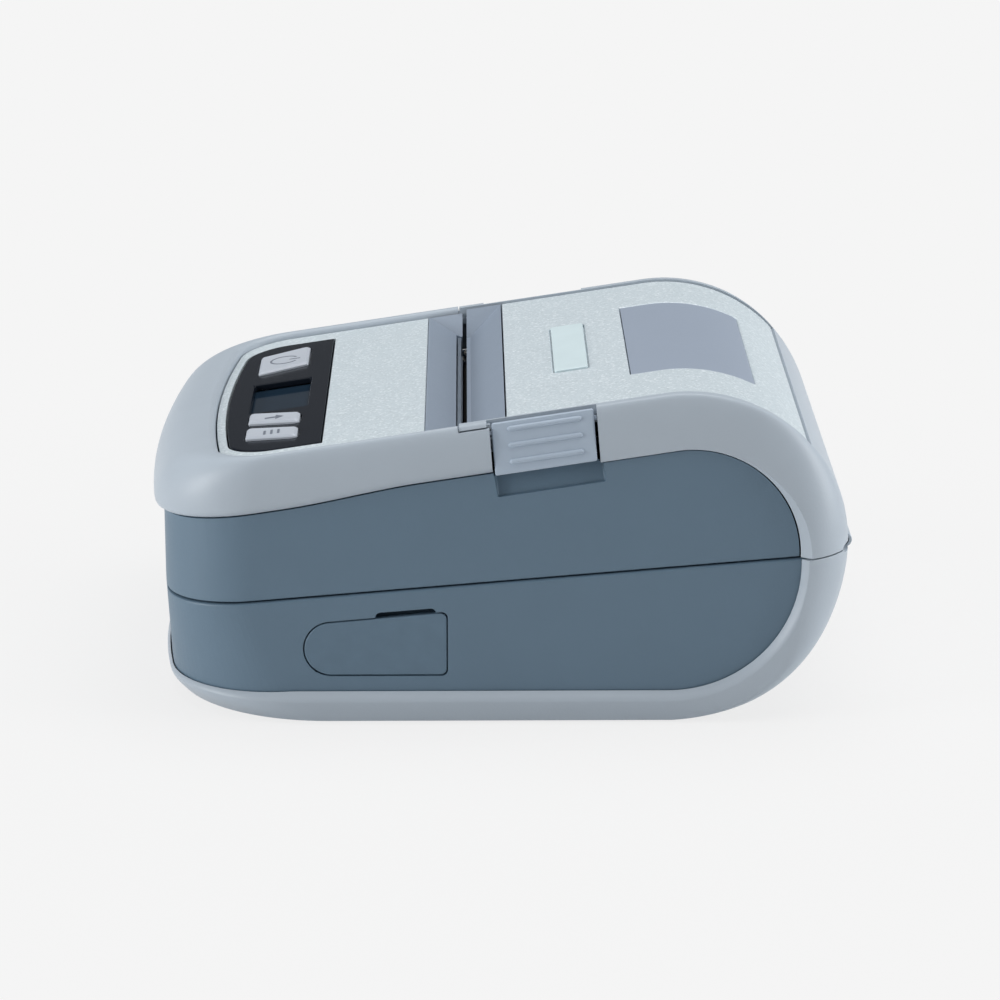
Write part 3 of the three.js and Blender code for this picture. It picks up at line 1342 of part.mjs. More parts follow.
// Side latch: a ribbed plate on two stub pins, with a nib that hooks under the frame's lug
function latchRod(radius, spare) {
  const start = latch.s0 - latch.frontStub - spare;
  const end = latch.s1 + latch.rearStub + spare;
  const rod = new THREE.CylinderGeometry(radius, radius, end - start, steps.pin).rotateZ(quarter);
  return onDeck(rod.translate((start + end) / 2, latch.pivotY, latch.pivotN));
}

function sideLatch() {
  const section = [
    [latch.outerTop, latch.top], [latch.outerLow, latch.bottom], [latch.innerLow, latch.bottom],
    [latch.innerMid, latch.pivotN - latch.shoulder], [latch.innerMid, latch.top - latch.shoulder],
    [latch.innerTop, latch.top],
  ];
  const ring = (s) => section.map(([y, n]) => new THREE.Vector3(s + n * latchShift, y, n));
  const plate = deckLoft([ring(latch.s0), ring(latch.s1)]);
  const nib = deckBox(
    latch.nibStart, latch.nibEnd, latch.nibY, latch.outerTop, latch.bottom, latch.bottom + latch.nibHeight,
  );
  const slope = (latch.outerLow - latch.outerTop) / (latch.top - latch.bottom);
  const ribs = [];
  for (let i = 0; i < latch.ribs; i += 1) {
    const n = latch.top - latch.ribTop - latch.ribPitch * i;
    const y = latch.outerTop + slope * (latch.top - n);
    const shift = n * latchShift;
    ribs.push(deckBox(
      latch.ribStart + shift, latch.ribEnd + shift, y - latch.ribWidth, y + latch.ribHeight,
      n - latch.ribWidth / 2, n + latch.ribWidth / 2,
    ));
  }
  const body = join(plate, latchRod(latch.stubRadius, 0), nib, ...ribs);
  place(lid, "latch_far", body, lightGrey);
  place(lid, "latch_near", mirrored(body), lightGrey);
}

lowerCase();
bumper();
upperCase();
frontCover();
frontPanel();
displayBezel();
controlKeys();
displayStack();
exitFront();
mechanismFrame();
printHead();
gearTrain();
driveMotor();
paperBay();
mainBoardPiece();
portBoard();
portCover();
batteryParts();
smallParts();
lidFrame();
lidPanel();
exitRear();
platenRoller();
platenCarrier();
sideLatch();

export default printer;
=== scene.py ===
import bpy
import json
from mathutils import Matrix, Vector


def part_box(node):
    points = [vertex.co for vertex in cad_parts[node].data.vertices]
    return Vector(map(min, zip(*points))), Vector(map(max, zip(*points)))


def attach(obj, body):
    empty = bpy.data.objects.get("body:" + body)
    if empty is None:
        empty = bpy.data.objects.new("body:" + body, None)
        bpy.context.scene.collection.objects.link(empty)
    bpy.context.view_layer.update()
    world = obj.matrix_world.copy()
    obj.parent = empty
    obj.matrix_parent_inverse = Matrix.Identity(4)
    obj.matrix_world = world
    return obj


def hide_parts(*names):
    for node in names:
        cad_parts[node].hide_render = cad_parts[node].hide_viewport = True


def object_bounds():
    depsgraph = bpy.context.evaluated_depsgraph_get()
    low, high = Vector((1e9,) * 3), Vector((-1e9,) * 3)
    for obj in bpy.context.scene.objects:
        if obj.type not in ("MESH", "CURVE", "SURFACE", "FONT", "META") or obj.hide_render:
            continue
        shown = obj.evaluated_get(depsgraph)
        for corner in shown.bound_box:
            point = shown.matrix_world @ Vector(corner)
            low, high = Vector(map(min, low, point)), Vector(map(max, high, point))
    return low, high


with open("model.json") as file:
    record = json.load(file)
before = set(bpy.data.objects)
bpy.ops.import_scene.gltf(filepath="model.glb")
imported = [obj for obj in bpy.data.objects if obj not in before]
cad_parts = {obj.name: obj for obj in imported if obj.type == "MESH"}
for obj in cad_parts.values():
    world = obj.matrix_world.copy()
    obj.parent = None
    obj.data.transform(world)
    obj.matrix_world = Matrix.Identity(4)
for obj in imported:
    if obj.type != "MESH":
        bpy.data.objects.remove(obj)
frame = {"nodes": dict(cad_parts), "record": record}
cad_bounds = [list(corner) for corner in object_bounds()]

import json
from math import atan2, cos, pi, radians, sin, sqrt, tan

import bmesh
import bpy
from bpy.props import FloatProperty, FloatVectorProperty, PointerProperty
from mathutils import Matrix, Vector

bl_info = {
    "name": "Portable Receipt Printer",
    "version": (1, 0, 0),
    "blender": (4, 5, 0),
    "location": "3D View > Sidebar > Printer",
    "description": "Builds the casing, mechanism and studio of a portable receipt printer",
    "category": "Object",
}

MM = 0.001
QUARTER = pi / 2

# Driving sizes in millimetres. X runs to the hinged rear, Y across the paper, Z up
LENGTH, WIDTH = ((cad_bounds[1][axis] - cad_bounds[0][axis]) / MM for axis in (0, 1))
HINGE_PROUD = 1.0
STANDOFF = 0.4
GAP = 0.3
WALL = 2.0
OVERRUN = 5.0
SEAM_REAR = 34.3
CROWN_RADIUS = 32.0
REAR_CORNER = 10.0
DECK_TILT = radians(8.64)
SEAM_TILT = radians(4.75)
HALF = WIDTH / 2
FRONT = -LENGTH / 2
REAR = LENGTH / 2 - HINGE_PROUD
CROWN_X = REAR - CROWN_RADIUS
FOOT_RADIUS = SEAM_REAR - STANDOFF
FOOT_X = REAR - FOOT_RADIUS
FAR = LENGTH
DECK_AT_0 = SEAM_REAR + CROWN_RADIUS / cos(DECK_TILT) - CROWN_X * tan(DECK_TILT)

# Plan outlines: half width, foremost point, corner radius, radius of the bowed front
PLANS = {
    "bumper": (HALF, FRONT + 1.6, 27, 200),
    "bumper_foot": (HALF - 1, FRONT + 4.5, 33, 200),
    "case_tuck": (HALF - 3, FRONT + 6, 33, 200),
    "lower_foot": (HALF - 2, FRONT + 2.7, 26, 200),
    "lower_seam": (HALF - 2, FRONT + 2, 18, 300),
    "upper": (HALF - 2.4, FRONT + 2, 18, 300),
    "cover": (HALF - 1.4, FRONT, 21, 300),
    "crest": (HALF - 3.8, FRONT + 10.6, 13.2, 300),
    "groove": (HALF - 5, FRONT + 11.8, 12, 300),
    "bezel": (HALF - 11.2, FRONT + 14.2, 9, 300),
}


def seam_height(x):
    return SEAM_REAR - (REAR - x) * tan(SEAM_TILT)


def deck_height(x):
    return DECK_AT_0 + x * tan(DECK_TILT)


def smooth(value, start, end):
    share = min(1, max(0, (value - start) / (end - start)))
    return share * share * (3 - 2 * share)


def blend(a, b, share):
    return a + (b - a) * share


# The light band of the front cover: its drop below the deck grows a little towards the front
BAND = {
    "drop": 9.9, "extra": 1.2, "bend_start": -15, "bend_end": -42, "end": -2.6, "lip": 1.6, "undercut": 1,
}


def band_height(x):
    share = smooth(-x, -BAND["bend_start"], -BAND["bend_end"])
    return deck_height(x) - BAND["drop"] - BAND["extra"] * share


# Outlines

SHARPEST = 0.3


def spaced(start, end, count):
    return [start + (end - start) * i / count for i in range(count + 1)]


def full_turn(count):
    return spaced(0, 2 * pi, count)[:-1]


def arc(x, y, radius, start, end, count):
    return [(x + radius * cos(a), y + radius * sin(a)) for a in spaced(start, end, count)]


def plan_outline(plan, rear_end, inset=0.0, rear_corner=0.0, corner_steps=22, side_steps=22):
    """Closed plan outline with a bowed front and round corners, from the rear round the front."""
    half, tip, corner, bow = plan if isinstance(plan, tuple) else PLANS[plan]
    half, tip, corner, bow = half - inset, tip + inset, corner - inset, bow - inset
    corner_y = half - corner
    bow_x = tip + bow
    corner_x = bow_x - sqrt((bow - corner) ** 2 - corner_y**2)
    lean = atan2(corner_y, bow_x - corner_x)
    if rear_corner > 0:
        centre = (rear_end - rear_corner, half - rear_corner)
        start = arc(*centre, rear_corner, 0, QUARTER, corner_steps // 2)
    else:
        start = [(rear_end, half)]
    side = start + [(x, half) for x in spaced(start[-1][0], corner_x, side_steps)[1:-1]]
    side += arc(corner_x, corner_y, corner, QUARTER, pi - lean, corner_steps)
    side += arc(bow_x, 0, bow, pi - lean, pi, corner_steps // 2)[1:]
    return side + [(x, -y) for x, y in reversed(side[:-1])]


def offset(points, distance):
    """A closed outline moved outward along its mitred corners."""
    area = sum(a[0] * b[1] - b[0] * a[1] for a, b in zip(points, points[1:] + points[:1]))
    way = 1 if area > 0 else -1
    moved = []
    for i, (x, y) in enumerate(points):
        before = Vector(points[i]) - Vector(points[i - 1])
        after = Vector(points[(i + 1) % len(points)]) - Vector(points[i])
        first = Vector((before.y, -before.x)).normalized() * way
        second = Vector((after.y, -after.x)).normalized() * way
        push = (first + second) * (distance / max(SHARPEST, 1 + first.dot(second)))
        moved.append((x + push.x, y + push.y))
    return moved


def rounded(points, radius, count=5):
    """A closed outline with its corners rounded."""
    result = []
    for i, point in enumerate(points):
        corner = Vector(point)
        back = Vector(points[i - 1]) - corner
        ahead = Vector(points[(i + 1) % len(points)]) - corner
        reach = min(radius / tan(back.angle(ahead) / 2), 0.49 * back.length, 0.49 * ahead.length)
        start = corner + back.normalized() * reach
        end = corner + ahead.normalized() * reach
        for t in spaced(0, 1, count):
            spot = start * (1 - t) ** 2 + corner * (2 * t * (1 - t)) + end * t**2
            result.append((spot.x, spot.y))
    return result


def rectangle(x0, x1, y0, y1):
    return [(x0, y0), (x1, y0), (x1, y1), (x0, y1)]


# Solids


def new_object(mesh, name="work"):
    obj = bpy.data.objects.new(name, mesh)
    bpy.context.scene.collection.objects.link(obj)
    return obj


def skin(rings, closed=False):
    """A solid through rings of points in millimetres, capped at its ends unless they join."""
    count = len(rings[0])
    faces = []
    for k in range(len(rings) if closed else len(rings) - 1):
        low, high = k * count, (k + 1) % len(rings) * count
        for i in range(count):
            j = (i + 1) % count
            faces.append((low + i, low + j, high + j, high + i))
    if not closed:
        last = (len(rings) - 1) * count
        faces.append(tuple(range(count)))
        faces.append(tuple(range(last, last + count)))
    mesh = bpy.data.meshes.new("work")
    mesh.from_pydata([Vector(point) * MM for ring in rings for point in ring], [], faces)
    work = bmesh.new()
    work.from_mesh(mesh)
    bmesh.ops.remove_doubles(work, verts=work.verts, dist=1e-7)
    bmesh.ops.triangulate(work, faces=[f for f in work.faces if len(f.verts) > 4])
    bmesh.ops.recalc_face_normals(work, faces=work.faces)
    work.to_mesh(mesh)
    work.free()
    return new_object(mesh)


def across(points, y0, y1):
    """A side view outline of X and Z points, carried across."""
    return skin([[(x, y, z) for x, z in points] for y in (y0, y1)])


def upright(points, z0, z1):
    return skin([[(x, y, z) for x, y in points] for z in (z0, z1)])


def softened(z0, z1, edge, both=True):
    """Levels and insets that round the edges of a plate."""
    levels = [(z1 - edge * (1 - sin(a)), edge * (1 - cos(a))) for a in spaced(0, QUARTER, 3)]
    if both:
        return [(z0 + edge * (1 - sin(a)), edge * (1 - cos(a))) for a in spaced(QUARTER, 0, 3)] + levels
    return [(z0, 0.0)] + levels


def slab(points, z0, z1, edge=0.2, place=None, both=True):
    """A plate over a plan outline with rounded edges, left level or placed by a function."""
    place = place or (lambda point: point)
    rings = []
    for z, inset in softened(z0, z1, edge, both):
        rings.append([place((x, y, z)) for x, y in offset(points, -inset)])
    return skin(rings)


def block(x0, x1, y0, y1, z0, z1, edge=0.2, corner=0.4, place=None):
    return slab(rounded(rectangle(x0, x1, y0, y1), corner, 3), z0, z1, edge, place)


def box(x0, x1, y0, y1, z0, z1, place=None):
    """A plain cutting box."""
    place = place or (lambda point: point)
    return skin([[place((x, y, z)) for x, y in rectangle(x0, x1, y0, y1)] for z in (z0, z1)])


def turned(profile, axis, place, count=48):
    """A solid of revolution from (radius, height) pairs about a line along X, Y or Z through a place."""
    order = {"X": (2, 0, 1), "Y": (1, 2, 0), "Z": (0, 1, 2)}[axis]
    rings = []
    for radius, height in profile:
        ring = []
        for i in range(count):
            spot = (radius * cos(2 * pi * i / count), radius * sin(2 * pi * i / count), height)
            ring.append(tuple(place[k] + spot[order[k]] for k in range(3)))
        rings.append(ring)
    return skin(rings)


def rod(radius, start, end, axis, place, edge=0.15, count=40):
    """A round bar with rounded ends."""
    profile = [(radius - edge * (1 - cos(a)), start + edge * (1 - sin(a))) for a in spaced(QUARTER, 0, 3)]
    profile += [(radius - edge * (1 - cos(a)), end - edge * (1 - sin(a))) for a in spaced(0, QUARTER, 3)]
    return turned(profile, axis, place, count)


def combined(target, operation, tools):
    for tool in tools:
        modifier = target.modifiers.new("combine", "BOOLEAN")
        modifier.operation = operation
        modifier.solver = "MANIFOLD"
        modifier.object = tool
    mesh = baked(target)
    for tool in tools:
        bpy.data.objects.remove(tool)
    if not mesh.polygons:
        raise RuntimeError("a cut or join left nothing")
    return target


def cut(target, *tools):
    return combined(target, "DIFFERENCE", tools)


def join(target, *tools):
    return combined(target, "UNION", tools)


def keep(target, *tools):
    return combined(target, "INTERSECT", tools)


def mirrored(obj):
    mesh = obj.data.copy()
    mesh.transform(Matrix.Diagonal((1, -1, 1, 1)))
    mesh.flip_normals()
    return new_object(mesh)


def pair(obj):
    return [obj, mirrored(obj)]


# The deck frame: s up the slope, y across, n out of the deck


def on_deck(point):
    s, y, n = point
    return (
        s * cos(DECK_TILT) - n * sin(DECK_TILT),
        y,
        DECK_AT_0 + s * sin(DECK_TILT) + n * cos(DECK_TILT),
    )


def along_deck(x):
    return x / cos(DECK_TILT)


TANGENT_S = along_deck(CROWN_X - CROWN_RADIUS * sin(DECK_TILT))


def crown_angle(s):
    """Direction of the outer skin's normal at a distance s along the deck and round the crown."""
    return QUARTER + DECK_TILT - max(0, s - TANGENT_S) / CROWN_RADIUS


def crown_s(angle):
    return TANGENT_S + (QUARTER + DECK_TILT - angle) * CROWN_RADIUS


def on_crown(s, y, n):
    angle = crown_angle(s)
    if s <= TANGENT_S:
        return on_deck((s, y, n))
    reach = CROWN_RADIUS + n
    return (CROWN_X + reach * cos(angle), y, SEAM_REAR + reach * sin(angle))


def crown_strip(stations, section):
    """A strip along the deck and crown; section gives the (y, n) outline at each station."""
    return skin([[on_crown(s, y, n) for y, n in section(s)] for s in stations])


def strip_stations(start, end, flat_step=3, round_step=0.8):
    """Places along the deck and round the crown, closer together where the surface is round."""
    flat = max(2, int((min(end, TANGENT_S) - start) / flat_step)) if start < TANGENT_S else 0
    stations = spaced(start, min(end, TANGENT_S), flat) if flat else [start]
    if end > TANGENT_S:
        stations += spaced(max(start, TANGENT_S), end, max(3, int((end - TANGENT_S) / round_step)))[1:]
    return stations


def above_seam(lift=GAP / 2):
    low = [(-FAR, seam_height(-FAR) + lift), (FAR, seam_height(FAR) + lift)]
    return across(low + [(FAR, FAR), (-FAR, FAR)], -WIDTH, WIDTH)


def below_seam(drop=GAP / 2):
    high = [(FAR, seam_height(FAR) - drop), (-FAR, seam_height(-FAR) - drop)]
    return across([(-FAR, -FAR), (FAR, -FAR)] + high, -WIDTH, WIDTH)


# Finishes

SLOT_OF = {entry["node"]: entry["material_slot"] for entry in frame["record"]["subparts"]}
BODY_OF = {node: body for body, nodes in frame["record"]["behaviour"]["bodies"].items() for node in nodes}


class Shader:
    """A material's nodes, with short calls that add and join them."""

    def __init__(self, name):
        self.material = bpy.data.materials.new(name)
        self.material.use_nodes = True
        self.nodes = self.material.node_tree.nodes
        self.links = self.material.node_tree.links
        self.surface = self.nodes["Principled BSDF"]
        self.place = self.add("ShaderNodeTexCoord").outputs["Object"]

    def add(self, kind, **values):
        node = self.nodes.new(kind)
        for name, value in values.items():
            setattr(node, name, value)
        return node

    def noise(self, size, detail=2.0, stretch=None):
        """Noise whose features are about size millimetres."""
        source = self.place
        if stretch:
            mapping = self.add("ShaderNodeMapping")
            mapping.inputs["Scale"].default_value = stretch
            self.links.new(source, mapping.inputs["Vector"])
            source = mapping.outputs["Vector"]
        node = self.add("ShaderNodeTexNoise")
        node.inputs["Scale"].default_value = 1 / (size * MM)
        node.inputs["Detail"].default_value = detail
        self.links.new(source, node.inputs["Vector"])
        return node.outputs["Fac"]

    def cells(self, size):
        node = self.add("ShaderNodeTexVoronoi")
        node.inputs["Scale"].default_value = 1 / (size * MM)
        self.links.new(self.place, node.inputs["Vector"])
        split = self.add("ShaderNodeSeparateColor")
        self.links.new(node.outputs["Color"], split.inputs["Color"])
        return split.outputs["Red"]

    def spread(self, source, low, high, start=0.0, end=1.0):
        node = self.add("ShaderNodeMapRange")
        for name, value in (("From Min", start), ("From Max", end), ("To Min", low), ("To Max", high)):
            node.inputs[name].default_value = value
        self.links.new(source, node.inputs["Value"])
        return node.outputs["Result"]

    def tint(self, colour, source, low, high):
        """Base colour made lighter or darker by a source between two factors."""
        node = self.add("ShaderNodeMix", data_type="RGBA")
        node.inputs["A"].default_value = [min(1, c * low) for c in colour[:3]] + [1]
        node.inputs["B"].default_value = [min(1, c * high) for c in colour[:3]] + [1]
        self.links.new(source, node.inputs["Factor"])
        return node.outputs["Result"]

    def over(self, base, source, colour):
        """One colour laid over another where a source is 1."""
        node = self.add("ShaderNodeMix", data_type="RGBA")
        self.links.new(base, node.inputs["A"])
        node.inputs["B"].default_value = [*colour[:3], 1]
        self.links.new(source, node.inputs["Factor"])
        return node.outputs["Result"]

    def colour(self, source):
        self.links.new(source, self.surface.inputs["Base Color"])

    def roughness(self, source, low, high):
        self.links.new(self.spread(source, low, high), self.surface.inputs["Roughness"])

    def relief(self, source, depth, strength=1.0):
        """Surface relief of a depth in millimetres."""
        node = self.add("ShaderNodeBump")
        node.inputs["Distance"].default_value = depth * MM
        node.inputs["Strength"].default_value = strength
        self.links.new(source, node.inputs["Height"])
        self.links.new(node.outputs["Normal"], self.surface.inputs["Normal"])

    def plain(self, **values):
        for name, value in values.items():
            socket = name.replace("_", " ").title().replace("Ior", "IOR")
            self.surface.inputs[socket].default_value = value


def moulded(name, colour, rough=0.5, grain=0.45, depth=0.02, mottle=0.03, shine=0.35):
    """Moulded plastic with a fine spark-eroded grain."""
    shader = Shader(name)
    shader.plain(specular_ior_level=shine)
    shader.colour(shader.tint(colour, shader.noise(9, 3), 1 - mottle, 1 + mottle))
    fine = shader.noise(grain, 3)
    shader.roughness(fine, rough - 0.06, rough + 0.06)
    shader.relief(fine, depth)
    return shader


def metallic_paint(name, colour, rough=0.5, flake=0.42, flake_colour=(0.80, 0.86, 0.90)):
    """Silver paint over plastic: bright flakes in a satin coat."""
    shader = Shader(name)
    body = shader.tint(colour, shader.noise(12, 3), 0.97, 1.03)
    sparkle = shader.spread(shader.cells(flake), 0, 0.75, 0.74, 1.0)
    lit = shader.over(body, sparkle, flake_colour)
    dim = shader.spread(shader.cells(flake * 0.8), 0, 0.3, 0.66, 1.0)
    shader.colour(shader.over(lit, dim, [c * 0.6 for c in colour[:3]]))
    fine = shader.noise(0.5, 3)
    shader.roughness(fine, rough - 0.08, rough + 0.08)
    shader.relief(fine, 0.02)
    shader.plain(metallic=0.1)
    return shader


def glossy(name, colour, rough=0.14, shine=0.5):
    """Polished plastic with faint waves and fine marks."""
    shader = Shader(name)
    shader.plain(specular_ior_level=shine)
    shader.colour(shader.tint(colour, shader.noise(6, 2), 0.95, 1.05))
    shader.roughness(shader.noise(1.5, 4), rough - 0.04, rough + 0.06)
    shader.relief(shader.noise(14, 1), 0.03)
    return shader


def brushed(name, colour, rough=0.3, stretch=(1, 0.06, 1)):
    """Metal with drawn or ground lines along one direction."""
    shader = Shader(name)
    lines = shader.noise(0.25, 4, stretch)
    shader.colour(shader.tint(colour, lines, 0.9, 1.06))
    shader.roughness(lines, rough - 0.08, rough + 0.12)
    shader.relief(lines, 0.01)
    shader.plain(metallic=1.0)
    return shader


def soft_rubber(name, colour, rough=0.8):
    shader = Shader(name)
    dust = shader.noise(3, 4)
    shader.colour(shader.tint(colour, dust, 0.92, 1.12))
    fine = shader.noise(0.3, 3)
    shader.roughness(fine, rough - 0.1, rough + 0.06)
    shader.relief(fine, 0.025)
    return shader


def circuit(name, colour):
    """Solder resist with tracks showing through as a faint pattern."""
    shader = Shader(name)
    tracks = shader.cells(1.6)
    shader.colour(shader.tint(colour, tracks, 0.75, 1.15))
    shader.roughness(shader.noise(0.6, 2), 0.35, 0.5)
    shader.relief(tracks, 0.03)
    return shader


def fired_ceramic(name, colour):
    shader = Shader(name)
    shader.colour(shader.tint(colour, shader.noise(2, 3), 0.95, 1.03))
    shader.roughness(shader.noise(0.4, 3), 0.22, 0.36)
    shader.relief(shader.noise(0.4, 3), 0.01)
    return shader


def display_screen(name, colour):
    """Dark screen whose tone varies in faint random blotches."""
    shader = Shader(name)
    spots = shader.noise(5, 2)
    shader.colour(shader.tint(colour, spots, 0.85, 1.1))
    shader.roughness(shader.noise(1.2, 3), 0.05, 0.1)
    shader.relief(shader.noise(10, 1), 0.01)
    shader.plain(specular_ior_level=0.06)
    return shader


def smoked_window(name, colour):
    """Smoked translucent plastic that hides most of the roll behind it."""
    shader = Shader(name)
    shader.colour(shader.tint(colour, shader.noise(20, 2), 0.97, 1.03))
    fine = shader.noise(0.6, 3)
    shader.roughness(fine, 0.26, 0.34)
    shader.relief(fine, 0.006)
    shader.plain(transmission_weight=0.12)
    return shader


class PrinterColours(bpy.types.PropertyGroup):
    """Colours of the printer's finishes"""

    slate: FloatVectorProperty(
        name="Slate", description="Matt plastic of the two cases",
        subtype="COLOR", size=3, min=0, max=1, default=(0.112, 0.178, 0.242),
    )
    light_grey: FloatVectorProperty(
        name="Light grey", description="Plastic of cover, lid, latches and bumper",
        subtype="COLOR", size=3, min=0, max=1, default=(0.415, 0.472, 0.53),
    )
    latch: FloatVectorProperty(
        name="Latch", description="Plastic of the side latches",
        subtype="COLOR", size=3, min=0, max=1, default=(0.40, 0.475, 0.565),
    )
    silver: FloatVectorProperty(
        name="Silver", description="Metallic paint of the top panels",
        subtype="COLOR", size=3, min=0, max=1, default=(0.57, 0.645, 0.685),
    )
    trough: FloatVectorProperty(
        name="Paper exit", description="Plastic of the slopes at the paper exit",
        subtype="COLOR", size=3, min=0, max=1, default=(0.25, 0.30, 0.37),
    )
    window: FloatVectorProperty(
        name="Window", description="Smoked plastic of the lid's window",
        subtype="COLOR", size=3, min=0, max=1, default=(0.365, 0.43, 0.53),
    )
    bezel: FloatVectorProperty(
        name="Bezel", description="Polished plastic round the display",
        subtype="COLOR", size=3, min=0, max=1, default=(0.007, 0.010, 0.016),
    )
    screen: FloatVectorProperty(
        name="Screen", description="The display when it is off",
        subtype="COLOR", size=3, min=0, max=1, default=(0.012, 0.025, 0.042),
    )
    key: FloatVectorProperty(
        name="Keys", description="Plastic of the three keys",
        subtype="COLOR", size=3, min=0, max=1, default=(0.49, 0.53, 0.59),
    )


def colours():
    return bpy.context.scene.printer_colours


def make_finish(slot, name):
    c = colours()
    makers = {
        "slate_plastic": lambda: moulded(name, c.slate, 0.5, 0.5, 0.02, shine=0.5),
        "light_grey_plastic": lambda: moulded(name, c.light_grey, 0.42, 0.55, 0.02),
        "latch_plastic": lambda: moulded(name, c.latch, 0.4, 0.55, 0.015),
        "silver_plastic": lambda: metallic_paint(name, c.silver),
        "trough_plastic": lambda: moulded(name, c.trough, 0.5, 0.5, 0.02),
        "black_gloss_plastic": lambda: glossy(name, c.bezel, 0.16, 0.06),
        "display_glass": lambda: display_screen(name, c.screen),
        "key_plastic": lambda: moulded(name, c.key, 0.36, 0.4, 0.01),
        "window_plastic": lambda: smoked_window(name, c.window),
        "blank_plate": lambda: glossy(name, (0.66, 0.785, 0.815), 0.3),
        "black_plastic": lambda: moulded(name, (0.026, 0.028, 0.031), 0.55, 0.5, 0.03),
        "white_plastic": lambda: moulded(name, (0.68, 0.68, 0.64), 0.45, 0.4, 0.01),
        "circuit_board": lambda: circuit(name, (0.014, 0.10, 0.045)),
        "steel": lambda: brushed(name, (0.36, 0.43, 0.52), 0.32),
        "aluminium": lambda: brushed(name, (0.58, 0.60, 0.62), 0.42),
        "ceramic": lambda: fired_ceramic(name, (0.78, 0.75, 0.68)),
        "rubber": lambda: soft_rubber(name, (0.028, 0.030, 0.033)),
        "slate_rubber": lambda: soft_rubber(name, [v * 0.97 for v in c.slate], 0.62),
        "key_print": lambda: moulded(name, (0.16, 0.18, 0.22), 0.5, 0.3, 0.005),
    }
    return makers[slot]().material


def finish(slot):
    name = f"printer_{slot}"
    return bpy.data.materials.get(name) or make_finish(slot, name)


def baked(obj):
    """Turns an object's modifiers into its mesh."""
    bpy.context.view_layer.update()
    graph = bpy.context.evaluated_depsgraph_get()
    mesh = bpy.data.meshes.new_from_object(obj.evaluated_get(graph))
    obj.modifiers.clear()
    obj.data = mesh
    mesh.name = obj.name
    return mesh


def edged(obj, width, angle=40.0, segments=2):
    """Rounds an object's sharp edges."""
    modifier = obj.modifiers.new("edges", "BEVEL")
    modifier.width = width * MM
    modifier.segments = segments
    modifier.limit_method = "ANGLE"
    modifier.angle_limit = radians(angle)
    modifier.use_clamp_overlap = True
    baked(obj)
    return obj


def piece(obj, node, slot=None, name=None, crease=32.0, stands_for=True):
    """Names an object, smooths it, gives it its finish and lets it ride on its node's body."""
    slot = slot or SLOT_OF[node]
    obj.name = name or node + "_form"
    mesh = obj.data
    mesh.name = obj.name
    work = bmesh.new()
    work.from_mesh(mesh)
    bmesh.ops.remove_doubles(work, verts=work.verts, dist=2e-6)
    bmesh.ops.dissolve_degenerate(work, edges=work.edges, dist=1e-6)
    work.to_mesh(mesh)
    work.free()
    mesh.shade_smooth()
    mesh.set_sharp_from_angle(angle=radians(crease))
    modifier = obj.modifiers.new("normals", "WEIGHTED_NORMAL")
    modifier.keep_sharp = True
    modifier.weight = 80
    mesh = baked(obj)
    mesh.materials.clear()
    mesh.materials.append(finish(slot))
    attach(obj, BODY_OF[node])
    if stands_for:
        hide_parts(node)
    slot if slot in SLOT_OF.values() else SLOT_OF[node]
    return obj


def from_cad(node, width=0.15, angle=35.0):
    """A node's own form with its flat faces cleaned and its edges rounded."""
    mesh = frame["nodes"][node].data.copy()
    work = bmesh.new()
    work.from_mesh(mesh)
    bmesh.ops.remove_doubles(work, verts=work.verts, dist=1e-6)
    bmesh.ops.dissolve_limit(work, angle_limit=radians(1), verts=work.verts, edges=work.edges)
    work.to_mesh(mesh)
    work.free()
    obj = new_object(mesh)
    return edged(obj, width, angle) if width else obj


class PrinterSizes(bpy.types.PropertyGroup):
    """Sizes of the printer's fine forms"""

    seam_bevel: FloatProperty(
        name="Seam bevel", description="Bevel along the seam between the two cases",
        unit="LENGTH", default=0.45 * MM, min=0, max=1 * MM, precision=5,
    )
    lid_chamfer: FloatProperty(
        name="Lid chamfer", description="Chamfer of the lid's low edge where it meets the seam",
        unit="LENGTH", default=2 * MM, min=0, max=3 * MM, precision=5,
    )
    key_crown: FloatProperty(
        name="Key crown", description="Width of the slope round each key's top",
        unit="LENGTH", default=0.5 * MM, min=0.2 * MM, max=1.5 * MM, precision=5,
    )
    rib_length: FloatProperty(
        name="Rib length", description="Length of the grip ribs on the latches",
        unit="LENGTH", default=14.6 * MM, min=8 * MM, max=15 * MM, precision=5,
    )
    label_half: FloatProperty(
        name="Plate half width", description="Half the width of the blank plate behind the paper exit",
        unit="LENGTH", default=18.2 * MM, min=10 * MM, max=24 * MM, precision=5,
    )


def sizes():
    return bpy.context.scene.printer_sizes


# Lower case, bumper and upper case

# A round of the side view is the x and z of its centre and its radius
BUMPER_WALL = 2.0
BUMPER_EDGE = 0.35
BUMPER_FOOT_CORNER = 3.5
BUMPER_CORNER_RISE = (4, 29)
CASE_BOTTOM = STANDOFF + 0.5
FLOOR_TOP = CASE_BOTTOM + WALL
CASE_REAR = REAR - BUMPER_WALL - GAP
CASE_CORNER = REAR_CORNER - BUMPER_WALL - GAP
CASE_ROUND = SEAM_REAR - CASE_BOTTOM
LOWER_ROUND = (FOOT_X - 1.5, SEAM_REAR - 2.3, FOOT_RADIUS - 8.4)
UPPER_SHIFT = (0.8, -0.1)
UPPER_ROUND = (CROWN_X + UPPER_SHIFT[0], SEAM_REAR + UPPER_SHIFT[1], CROWN_RADIUS - 10.7)
BUMPER_TOP = LOWER_ROUND[1] - LOWER_ROUND[2]
CHAMFER = 2.0
BUMPER_BULGE = 4.0

